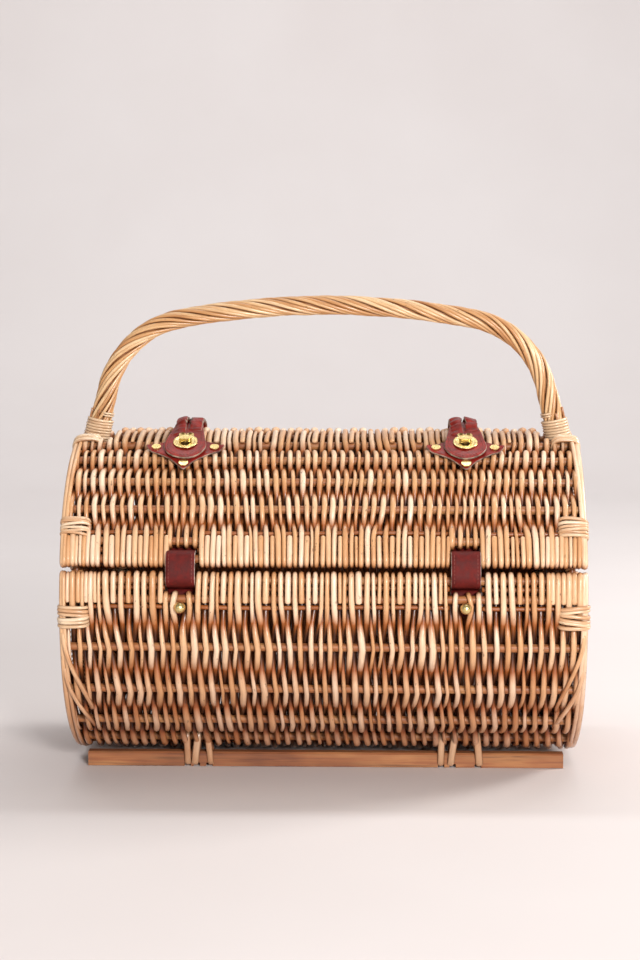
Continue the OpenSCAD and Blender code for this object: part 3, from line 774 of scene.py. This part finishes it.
def edge_binding(tubes, side, angle, turns, size, proud, seed):
    """Cane wound round an edge bundle at one angle."""
    rng = np.random.default_rng(seed)
    half_x = (EDGE_OUT - EDGE_IN) / 2 + 1.4 + proud - size
    half_r = HOOK_R + 2.3 + proud
    x_mid = (EDGE_OUT + EDGE_IN) / 2 - 0.6
    for k in range(turns):
        t = circle(30)
        c, s = squarish(t, 3.2)
        tilt = rng.uniform(-1.1, 1.1)
        lift = (k - (turns - 1) / 2) * size * 1.75 + tilt * size * np.cos(t + rng.uniform(-0.6, 0.6))
        a = angle + np.degrees(lift / MID)
        outer = 0.35 * rng.uniform(0, 1)
        path = spots(side * (x_mid + half_x * c), MID + (half_r + outer) * s, a)
        centre = spots(side * x_mid, MID, a)
        along = np.stack([np.zeros(len(t)), np.sin(np.radians(a)), np.cos(np.radians(a))], -1)
        tubes.add(path, size * rng.uniform(0.85, 1.08), along, rng.uniform(0.2, 1.0), 0.85,
                  outward=path - centre, closed=True)


for side, word in SIDES:
    tubes = Tubes(60 + side)
    for k, angle in enumerate((-1, -179)):
        edge_binding(tubes, side, angle, turns=6, size=1.7, proud=1.2, seed=70 + k + 3 * side)
    finished(tubes, f"body_{word}_wraps", CANE, "basket", "cane", f"body_{word}_binding")
    tubes = Tubes(62 + side)
    edge_binding(tubes, side, 30, turns=6, size=1.5, proud=0.7, seed=80 + side)
    edge_binding(tubes, side, 74.5, turns=3, size=2.1, proud=0.6, seed=86 + side)
    finished(tubes, f"lid_{word}_wraps", CANE, "lid", "cane", f"lid_{word}_binding")


# ---- end panels ----

STICK_STEP = 20.0  # between the upright sticks, as in the CAD source
ROW_STEP, ROW_BOW, SHORTEST_ROW = 4.5, 4.7, 12  # rows of the end weave
HOOP_WRAPS = 170
HOOP_WIDE, HOOP_DEEP = 4.6, 3.4  # the wrapping's half sizes along X and across it


def end_panel(side, word):
    """Strands woven across the upright sticks, and the hoop with its wrapping."""
    x_mid, radius = middle(f"{word}_end_weave")[0], half_size(f"{word}_end_weave")[2]
    tubes = Tubes(90 + side)
    rng = np.random.default_rng(90 + side)
    for j in range(int(2 * radius / ROW_STEP)):
        z = -radius + ROW_STEP * (j + 0.5)
        half = math.sqrt(max(radius ** 2 - z ** 2, 0))
        if half < SHORTEST_ROW:
            continue
        y = np.linspace(-half, half, int(half * 2 / 2.2))
        sign = 1 if j % 2 else -1
        bow = ROW_BOW * sign * np.cos(math.pi * y / STICK_STEP)
        row_z = AXIS_Z + z + 0.4 * np.sin(y * 0.05 + rng.uniform(0, 6.3))
        line = np.stack([x_mid + side * bow, y, row_z], -1)
        tubes.add(line, 2.2 * rng.uniform(0.9, 1.06), Z_AXIS, rng.uniform(), bow / ROW_BOW * 0.6 + 0.35,
                  outward=X_AXIS * side)
    finished(tubes, f"{word}_end_strands", STRAND, "basket", "willow", f"{word}_end_weave")

    hoop_r = half_size(f"{word}_end_hoop")[2] - HOOP_WIDE
    tubes = Tubes(94 + side)
    t = circle(HOOP_WRAPS * 10)
    turn = t * HOOP_WRAPS
    barrel_way = np.stack([np.zeros(len(t)), -np.cos(t), np.sin(t)], -1)
    wound = np.sin(turn)[:, None] * X_AXIS + np.cos(turn)[:, None] * barrel_way
    path = np.array([x_mid, 0, AXIS_Z]) + hoop_r * barrel_way + wound * [HOOP_WIDE, HOOP_DEEP, HOOP_DEEP]
    around = np.stack([np.zeros(len(t)), np.sin(t), np.cos(t)], -1)
    tubes.add(path, 1.3, around, 0.35, 0.5, 6, outward=wound, closed=True)
    ring = circle(180)
    core = np.stack([np.full(180, x_mid), -hoop_r * np.cos(ring), AXIS_Z + hoop_r * np.sin(ring)], -1)
    tubes.add(core, 3.0, X_AXIS, 0.2, 0.0, 8, closed=True)
    finished(tubes, f"{word}_hoop_wrapped", STRAND, "basket", "willow_rod", f"{word}_end_hoop")


for side, word in SIDES:
    end_panel(side, word)


# ---- handle ----

HANDLE_TOP_R, HANDLE_TOP_TURN = 708.0, 10.5  # half of the flat arch, its angle in degrees
SHOULDER_R, SHOULDER_END = 82.0, 76.0  # the shoulder, down to this angle from level
LEG = 51.3  # length of the straight leg


def handle_line(step=4.0):
    """The handle's centre line from foot to foot, as x and z: a flat arch, two shoulders and
    straight legs that lean outwards."""
    _, hi = box_mm("handle_twist")
    arch_z = hi[2] - half_size("handle_twist")[1] - HANDLE_TOP_R
    turn, end = math.radians(HANDLE_TOP_TURN), math.radians(SHOULDER_END)
    cx, cz = [(HANDLE_TOP_R - SHOULDER_R) * f(turn) for f in (math.sin, math.cos)]
    arch = np.arange(0, HANDLE_TOP_R * turn, step) / HANDLE_TOP_R
    bend = turn + np.arange(0, SHOULDER_R * math.radians(SHOULDER_END - HANDLE_TOP_TURN), step) / SHOULDER_R
    down = np.append(np.arange(0, LEG, step), LEG)
    corner_x, corner_z = cx + SHOULDER_R * math.sin(end), cz + SHOULDER_R * math.cos(end)
    right = np.vstack([
        np.stack([HANDLE_TOP_R * np.sin(arch), arch_z + HANDLE_TOP_R * np.cos(arch)], -1),
        np.stack([cx + SHOULDER_R * np.sin(bend), arch_z + cz + SHOULDER_R * np.cos(bend)], -1),
        np.stack([corner_x + down * math.cos(end), arch_z + corner_z - down * math.sin(end)], -1)])
    return np.vstack([right[:0:-1] * [-1, 1], right])


def handle_frame():
    line = handle_line()
    centre = np.stack([line[:, 0], np.zeros(len(line)), line[:, 1]], -1)
    along = unit(np.gradient(centre, axis=0))
    outward = np.cross(Y_AXIS, -along)
    outward *= np.sign(outward[len(line) // 2, 2])
    return centre, along, outward, lengths(centre)


RODS, TURN_LENGTH = 13, 138.0  # twisted rods, and the length in which one goes round once
RING_R, CORE_R = 6.9, 4.9  # of the ring of rods and of the core that they lie round


def handle_rods():
    """Rods twisted round the core, a little looser towards the feet."""
    centre, along, outward, length = handle_frame()
    tubes = Tubes(200)
    rng = np.random.default_rng(200)
    foot = np.minimum(length, length[-1] - length)
    looser = 1 + 0.12 * smooth((90 - foot) / 60)
    for k in range(RODS):
        turn = -2 * math.pi * (length / TURN_LENGTH + k / RODS) + 0.1 * np.sin(length / 60 + 2.4 * k)
        way = np.cos(turn)[:, None] * outward + np.sin(turn)[:, None] * Y_AXIS
        path = centre + (RING_R + 0.2 * np.sin(length / 35 + 1.7 * k))[:, None] * looser[:, None] * way
        size = rng.uniform(1.55, 1.85) * (1 + 0.05 * np.sin(length / 45 + rng.uniform(0, 6.3)))
        tubes.add(path, size, Y_AXIS * 0.001 + outward, rng.uniform(0.0, 1.0), 0.8, 10, outward=way)
    tubes.add(centre[6:-6], CORE_R, Y_AXIS, 0.1, 0.0, 8)
    finished(tubes, "handle_rods", HANDLE_ROD, "basket", "willow", "handle_twist")


handle_rods()


def foot_wraps(side, word):
    """Pale cane wound round the handle's foot, two turns round its inner side only, and
    cut rod ends that stand beside it."""
    centre, along, outward, length = handle_frame()
    foot = centre[-1] if side > 0 else centre[0]
    leg_up = -along[-1] if side > 0 else along[0]
    wind = leg_up + Z_AXIS * 0.9
    wind /= np.linalg.norm(wind)
    out = np.cross(Y_AXIS, wind) * side
    tubes = Tubes(210 + side)
    rng = np.random.default_rng(210 + side)

    def winding(base, turns, gap, r_out, r_y, size):
        t = np.linspace(0, turns * 2 * math.pi, int(turns * 24))
        rise = t / (2 * math.pi) * gap + 0.2 * np.sin(t + 1.0)
        spoke = np.cos(t)[:, None] * out * r_out + np.sin(t)[:, None] * Y_AXIS * r_y
        path = base + rise[:, None] * leg_up + spoke * (1 + 0.015 * np.sin(t * 0.7))[:, None]
        tubes.add(path, size, wind, rng.uniform(0.6, 1.0), 0.9, 8, outward=spoke)

    winding(foot + leg_up * 2.4, turns=8, gap=2.5, r_out=10.6, r_y=10.3, size=1.3)
    winding(foot + leg_up * 25.2 - out * 4.6, turns=2, gap=2.1, r_out=5.4, r_y=9.6, size=0.9)
    for k in range(4):
        turn = 0.9 * (k - 1.5)
        spoke = math.cos(turn) * out + math.sin(turn) * Y_AXIS
        start = foot + spoke * 9.3 + leg_up * 12
        end = foot + spoke * 10.0 + leg_up * rng.uniform(27, 33)
        tubes.add(np.linspace(start, end, 6), rng.uniform(0.8, 1.2), Y_AXIS, rng.uniform(0, 0.4), 0.2,
                  outward=spoke)
    finished(tubes, f"{word}_foot_wraps", CANE, "basket", "cane", f"{word}_handle_binding")


for side, word in SIDES:
    foot_wraps(side, word)


# ---- ties round the runners ----

def runner_ties(name, places, seed):
    """Glossy flattened willow, looped from the bottom of the basket round a runner."""
    lo, hi = box_mm(name)
    tubes = Tubes(seed)
    rng = np.random.default_rng(seed)
    y_mid, half_y = (lo[1] + hi[1]) / 2, (hi[1] - lo[1]) / 2 - 1.0
    z_mid, half_z = (lo[2] + hi[2]) / 2, (hi[2] - lo[2]) / 2 - 1.5
    for x in places:
        t = circle(44)
        spoke = np.stack([np.zeros(44), *squarish(t, 5)], -1)
        lean = rng.uniform(-2.4, 2.4) * np.sin(t)
        path = np.array([x, y_mid, z_mid]) + spoke * [0, half_y, half_z] + lean[:, None] * X_AXIS
        tubes.add(path, rng.uniform(2.8, 3.3), spoke, rng.uniform(0.4, 1.0), 0.9, outward=spoke, closed=True,
                  flat=0.55)
    finished(tubes, f"{name}_looped", CANE, "basket", "willow", name)


runner_ties("front_runner_ties", (-120, -112, -101, 101, 111, 133), 301)
runner_ties("rear_runner_ties", (-128, -112, 112, 128), 302)


# ---- leather ----

def smooth_path(corners, step=1.2):
    """Angle and radius corners joined by a smooth line: points and their outward normals."""
    corners = np.array(corners, float)
    y, z = polar(corners[:, 1], corners[:, 0])
    knots = np.stack([y, z], -1)
    pad = np.vstack([2 * knots[0] - knots[1], knots, 2 * knots[-1] - knots[-2]])
    line = []
    for i in range(1, len(pad) - 2):
        p0, p1, p2, p3 = pad[i - 1:i + 3]
        n = max(2, int(np.linalg.norm(p2 - p1) / step))
        for t in np.arange(n) / n:
            line.append(0.5 * (2 * p1 + (p2 - p0) * t + (2 * p0 - 5 * p1 + 4 * p2 - p3) * t ** 2
                               + (3 * p1 - p0 - 3 * p2 + p3) * t ** 3))
    line = np.array(line + [pad[-2]])
    along = unit(np.gradient(line, axis=0))
    zero = np.zeros(len(line))
    return np.column_stack([zero, line]), np.column_stack([zero, -along[:, 1], along[:, 0]])


def turned_out(path, normal):
    """Normals turned to the side that faces away from the barrel half way along."""
    half = len(path) // 2
    return normal * np.sign(np.dot(normal[half], radial(path)[half]))


# angle and radius of the corners of a strap's middle line
STRAP_LINE = [
    (-1.5, 125.5), (3, 125.5), (7.2, 125.6), (8.7, 127), (9.3, 131), (9.6, 137), (10.2, 141),
    (11.3, 143.8), (12.7, 144.9), (14.4, 145.3), (16.6, 145.3), (18.4, 144.9), (19.9, 143.8), (21.0, 141),
    (21.6, 137), (21.9, 131), (22.6, 127), (24.1, 125.6), (28.8, 125.5)]
STRAP_BEND, TAB_BEND = (11.0, 20.5), (95.0, 89.0)  # angles at the two ends of the leather's stretch over the hinge; points there are worked out but not used
STITCH_R = 0.3


def hinge_strap(side, word):
    """A strap that comes out of the body, lies over the seam and goes in through the lid, with
    a row of stitches down each side."""
    x_mid, half = middle(f"hinge_strap_{word}")[0], half_size(f"hinge_strap_{word}")[0]
    path, normal = smooth_path(STRAP_LINE)
    normal = turned_out(path, normal)
    path = path + X_AXIS * x_mid
    sheet = Sheets()
    sheet.band(path, normal, 2 * half - 0.6, 2.4)
    strap = sheet.make(f"hinge_strap_{word}_bent", SHADED_STRAP_LEATHER)
    radius = np.hypot(path[:, 1], path[:, 2] - AXIS_Z)
    outside = np.flatnonzero(radius > OUTER + 0.6)
    length = lengths(path)
    tubes = Tubes(320 + side)
    for s in np.arange(length[outside[0]], length[outside[-1]] - 1.9, 3.0):
        spot = np.linspace(s, s + 1.9, 4)
        for edge in (-1, 1):
            here = [np.interp(spot, length, path[:, k]) for k in range(3)]
            rise = np.stack([np.interp(spot, length, normal[:, k]) for k in range(3)], -1)
            line = np.stack(here, -1) + X_AXIS * edge * (half - 2.9) + rise * 1.22
            tubes.add(line, STITCH_R, X_AXIS, 0.5, 1.0, 5, outward=rise)
    stitches = tubes.make(f"hinge_strap_{word}_stitches", THREAD)
    start, end = [Vector(spots(x_mid, OUTER + 1.5, a) * MM) for a in STRAP_BEND]
    for piece in (strap, stitches):
        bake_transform(piece)
        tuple(start)
        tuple(end)
    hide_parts(f"hinge_strap_{word}")


for side, word in SIDES:
    hinge_strap(side, word)


RAYS = 120


def rays():
    t = np.arange(RAYS) * 2 * math.pi / RAYS
    return np.stack([np.cos(t), np.sin(t)], -1)


def rounded(distance, blur):
    """Softens the corners of an outline given as distances along the rays."""
    kernel = np.hanning(2 * blur + 3)[1:-1]
    kernel /= kernel.sum()
    wrapped = np.concatenate([distance[-blur:], distance, distance[:blur]])
    return np.convolve(wrapped, kernel, "valid")


def polygon_outline(corners):
    """Distances along the rays from the origin to a polygon seen whole from there."""
    corners = np.array(corners, float)
    share = np.linspace(0, 1, 40)[:-1, None]
    points = np.vstack([p + (q - p) * share for p, q in zip(corners, np.roll(corners, -1, 0))])
    angle = np.arctan2(points[:, 1], points[:, 0])
    return np.interp(np.arange(RAYS) * 2 * math.pi / RAYS, angle, np.hypot(*points.T), period=2 * math.pi)


def disc_outline(x, up, radius):
    """Distances to the far side of a disc along the rays; 0 where they miss it."""
    way = rays()
    along = way @ [x, up]
    miss = radius ** 2 - (x * x + up * up - along ** 2)
    return np.where(miss > 0, np.maximum(along, 0) + np.sqrt(np.maximum(miss, 0)), 0)


def ellipse_outline(half_x, half_up, power=2.0):
    way = np.abs(rays())
    return ((way[:, 0] / half_x) ** power + (way[:, 1] / half_up) ** power) ** (-1 / power)


def bent(x_mid, angle, radius):
    """Puts flat points on the barrel round a place on it."""
    def place(x, up, height):
        return spots(x_mid + x, radius + height, angle + np.degrees(up / radius))
    return place


def level(x_mid, angle, radius):
    """Puts flat points on the plane that touches the barrel at a place on it."""
    def place(x, up, height):
        y, z = polar(radius + height, angle)
        a = math.radians(angle)
        return np.stack([x_mid + x, y + up * math.sin(a), z + up * math.cos(a)], -1)
    return place


LOCK_ANGLE = angle_of("turn_knob_right")
DIAMOND_ANGLE = angle_of("diamond_plate_right")


def diamond(word, x_mid):
    """The stiff leather diamond under a lock, its side corners curled away from the wall."""
    half_x = half_size(f"diamond_plate_{word}")[0] + 2.5
    quarter = [(1.0, 0.0), (0.86, 0.16), (0.64, 0.3), (0.38, 0.5), (0.18, 0.75), (0.0, 1.0)]
    corners = np.array(quarter + [(-x, up) for x, up in quarter[-2::-1]])
    corners = np.vstack([corners, corners[-2:0:-1] * [1, -1]]) * [half_x, 30.0]
    reach = rounded(polygon_outline(corners), 1)
    sheet = Sheets()
    inner = rays() * 3.0

    def curl(x, up):
        return 3.2 * smooth((np.abs(x) - half_x + 6.5) / 7.0) + 0.35 * np.sin(up * 0.3 + x * 0.2)

    sheet.plate(rays() * reach[:, None], inner, 2.1, bent(x_mid, DIAMOND_ANGLE, OUTER + 0.3), 16, curl)
    finished(sheet, f"diamond_plate_{word}_curled", LEATHER, "lid", "leather", f"diamond_plate_{word}")


# angle and radius of the corners of a tab's two folds, and of the tail that both have in common
BOXY_FOLD = [(75.5, 147.8), (77.6, 148.2), (79.0, 149.6), (81.5, 150.6), (86, 151.0), (91, 150.0)]
SLOPING_FOLD = [(71.5, 147.6), (75.5, 148.4), (79.5, 150.0), (83.5, 151.0), (87.5, 150.9), (91.5, 149.8)]
FOLD_TAIL = [(94.5, 148.4), (97.2, 147.1), (99.2, 144.5), (99.9, 139), (99.9, 131), (99.4, 127),
             (98.2, 125.6), (96.3, 125.5)]


def locking_tab(side, word, x_mid):
    """The tab: a shield with a slot for the lock, stitched round its rim, and the two folds of
    the loop that it hangs by on the rear rim."""
    half = half_size(f"locking_tab_{word}")[0]
    tab_r, tab_t = OUTER + 4, 2.6
    # how far the round end's centre lies below the lock and the neck's end above it, and about
    # half the neck's width
    drop, reach, neck = 4.0, 60.0, 11.0
    sides = [(-half, -drop - 0.1), (half, -drop - 0.1), (half, -drop), (neck + 1, reach * 0.62),
             (neck - 0.5, reach), (0.5 - neck, reach), (-neck - 1, reach * 0.62), (-half, -drop)]
    shield = rounded(np.maximum(disc_outline(0, -drop, half), polygon_outline(sides)), 2)
    slot = ellipse_outline(4.3, 7.6, 2.6)
    place = bent(x_mid, LOCK_ANGLE, tab_r)

    def rumple(x, up):
        curled = 0.8 * smooth((np.abs(x) - 10) / 9) * smooth((up + 6) / 20)
        return 0.25 * np.sin(x * 0.25 + up * 0.12 + side) + curled

    sheet = Sheets()
    sheet.plate(rays() * shield[:, None], rays() * slot[:, None], tab_t, place, 14, rumple)
    for fold in (-1, 1):
        boxy = fold > 0
        path, normal = smooth_path((BOXY_FOLD if boxy else SLOPING_FOLD) + FOLD_TAIL)
        normal = turned_out(path, normal)
        run = np.linspace(0, 1, len(path))
        crest = np.sin(math.pi * np.clip(run / 0.5, 0, 1))
        pucker = crest * (0.6 * np.sin(run * 47 + 1.7 * side + fold) + 0.4 * np.sin(run * 83 + side * fold))
        path = path + X_AXIS * (x_mid + fold * 6.3)
        path = path + X_AXIS * (fold * 0.5 * crest - 0.7 * pucker)[:, None]
        path = path + normal * (0.5 * crest + 0.9 * pucker)[:, None]
        tilt = crest * (0.2 if boxy else 0.42) * fold + 0.22 * pucker * side
        across = unit(X_AXIS - normal * tilt[:, None])
        sheet.band(path, normal, 11.6 - 1.3 * crest + 0.9 * pucker, 2.8, across, 0.05 if boxy else 0.4)
    tab = sheet.make(f"locking_tab_{word}_folded", LEATHER)

    tubes = Tubes(340 + side)
    inset = (shield - 3.0)[:, None] * rays()
    ring = np.vstack([inset, inset[:1]])
    length = lengths(ring)
    for s in np.arange(0, length[-1] - 2, 3.1):
        spot = np.linspace(s, s + 2.0, 4)
        x, up = np.interp(spot, length, ring[:, 0]), np.interp(spot, length, ring[:, 1])
        if up.max() < 20:
            line = place(x, up, tab_t + rumple(x, up) + 0.1)
            tubes.add(line, STITCH_R, radial(line), 0.5, 1.0, 5, outward=radial(line))
    stitches = tubes.make(f"locking_tab_{word}_stitches", THREAD)

    start, end = [Vector(spots(x_mid, tab_r, a) * MM) for a in TAB_BEND]
    for piece in (tab, stitches):
        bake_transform(piece)
        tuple(start)
        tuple(end)
    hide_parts(f"locking_tab_{word}", f"tab_anchor_{word}")


def eyelet(side, word, x_mid):
    """The eyelet plate: an oval with two ears, a raised rim and small punched holes."""
    base_r = math.hypot(*(middle(f"eyelet_plate_{word}")[1:] - [0, AXIS_Z])) - 0.9
    outer = np.maximum(ellipse_outline(10.4, 11.2, 2.2),
                       np.maximum(disc_outline(3.4, 12.0, 3.3), disc_outline(-3.4, 12.0, 3.3)))
    outer = rounded(outer, 1)
    slot = ellipse_outline(3.5, 6.7, 3.0)
    place = level(x_mid, LOCK_ANGLE, base_r)
    sheet = Sheets()
    sheet.plate(rays() * outer[:, None], rays() * slot[:, None], 1.0, place, 16,
                lambda x, up: 0.1 + 0.5 * smooth((np.hypot(x / 10.4, up / 11.2) - 0.72) / 0.12))
    tubes = Tubes(360 + side)
    t = circle(24)
    rim_and_holes = ((0, 0, 8.428, 8.6), (0, -8.6, 1.1, 1.1), (-3.2, -8.2, 1.0, 1.0), (3.2, -8.2, 1.0, 1.0))
    for x0, up0, half_x, half_up in rim_and_holes:
        path = place(x0 + half_x * np.cos(t), up0 + half_up * np.sin(t), np.full(24, 1.15))
        tubes.add(path, 0.4, radial(path), 0.5, 1.0, 6, outward=radial(path), closed=True)
    finished(sheet, f"eyelet_plate_{word}_domed", BRASS, f"tab_{word}", "brass", f"eyelet_plate_{word}")
    finished(tubes, f"eyelet_rings_{word}", BRASS, f"tab_{word}", "brass")


for side, word in SIDES:
    x_lock = side * LOCK_X
    diamond(word, x_lock)
    locking_tab(side, word, x_lock)
    eyelet(side, word, x_lock)


# ---- finish on the CAD nodes that stay in sight ----

def dress(nodes, material):
    for n in nodes:
        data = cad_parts[n].data
        data.materials.clear()
        data.materials.append(material)


dress(["body_stakes", "body_front_rim", "body_rear_rim", "lid_stakes", "lid_lower_rim", "lid_top_rim",
       "left_end_sticks", "right_end_sticks", "handle_core"], ROD)
dress(["front_runner", "rear_runner"], RUNNER)
for side, word in SIDES:
    dress([f"{part}_{word}" for part in ("ball_stud", "diamond_rivets", "turnlock_base", "turn_knob")], BRASS)
    dress([f"eyelet_rivets_{word}"], DARK_BRASS)


# ---- camera, floor and light ----

FLOOR_HALF, FLOOR_FRONT, FLOOR_BACK, FLOOR_TOP, FLOOR_BEND = 6.0, -4.0, 3.2, 5.0, 1.2
CAMERA_AWAY, CAMERA_HEIGHT, CAMERA_SHIFT = 1.82, 0.44, -0.006
CAMERA_YAW, CAMERA_PITCH = math.radians(1.5), math.radians(6.12)
BASKET = (0, 0, 0.2)
# each lamp's place, what it is turned to and its size, in metres, its watts and its tint
LAMPS = {
    "key": ((0.7, -2.35, 0.85), BASKET, (0.5, 0.5), 62, (1.0, 0.97, 0.96)),
    "fill": ((-1.2, -2.0, 0.9), BASKET, (1.2, 1.0), 4, (1.0, 0.98, 0.96)),
    "side": ((1.7, 0.45, 0.95), BASKET, (0.5, 0.5), 26, (1.0, 0.98, 0.96)),
    "top": ((0.1, 0.1, 1.9), BASKET, (1.2, 1.0), 5, (1.0, 0.98, 0.97)),
    "backdrop": ((0, 1.2, 3.4), (0, 3.0, 1.0), (4.0, 0.8), 92, (0.92, 0.96, 1.0)),
}


def placed(name, data, location, rotation=(0.0, 0.0, 0.0)):
    made = bpy.data.objects.new(name, data)
    made.location = location
    made.rotation_euler = rotation
    bpy.context.scene.collection.objects.link(made)
    return made


def studio():
    """A pale floor that bends up into a backdrop, the camera in front, and soft lamps."""
    bend = FLOOR_BEND
    profile = [(FLOOR_FRONT, 0.0)] + [
        (FLOOR_BACK - bend + bend * math.sin(t), bend - bend * math.cos(t))
        for t in np.linspace(0, math.pi / 2, 16)] + [(FLOOR_BACK, FLOOR_TOP)]
    co = [(x, y, z - 0.0004) for y, z in profile for x in (-FLOOR_HALF, FLOOR_HALF)]
    faces = [(2 * i, 2 * i + 1, 2 * i + 3, 2 * i + 2) for i in range(len(profile) - 1)]
    floor_mesh = bpy.data.meshes.new("floor")
    floor_mesh.from_pydata(co, [], faces)
    for p in floor_mesh.polygons:
        p.use_smooth = True
    floor_mesh.materials.append(plain("pale_floor", "#d3cbc8", 0.9))
    placed("floor", floor_mesh, (0, 0, 0))

    camera_data = bpy.data.cameras.new("camera")
    camera_data.lens = 77.25
    cos, sin = math.cos(CAMERA_YAW), math.sin(CAMERA_YAW)
    where = Vector((CAMERA_AWAY * sin, -CAMERA_AWAY * cos, CAMERA_HEIGHT))
    where += Vector((cos, sin, 0)) * CAMERA_SHIFT
    bpy.context.scene.camera = placed("camera", camera_data, where,
                                      (math.pi / 2 - CAMERA_PITCH, 0.0, CAMERA_YAW))

    for name, (place, aim, size, power, tint) in LAMPS.items():
        data = bpy.data.lights.new(name, "AREA")
        data.shape = "RECTANGLE"
        data.size, data.size_y = size
        data.energy = power
        data.color = tint
        placed(name, data, place, (Vector(aim) - Vector(place)).to_track_quat("-Z", "Y").to_euler())
    bpy.context.scene.view_settings.view_transform = "Standard"
    world = bpy.data.worlds.new("world")
    bpy.context.scene.world = world
    world.use_nodes = True
    sky = world.node_tree.nodes["Background"]
    sky.inputs["Color"].default_value = (1.0, 0.97, 0.95, 1.0)
    sky.inputs["Strength"].default_value = 0.27


studio()
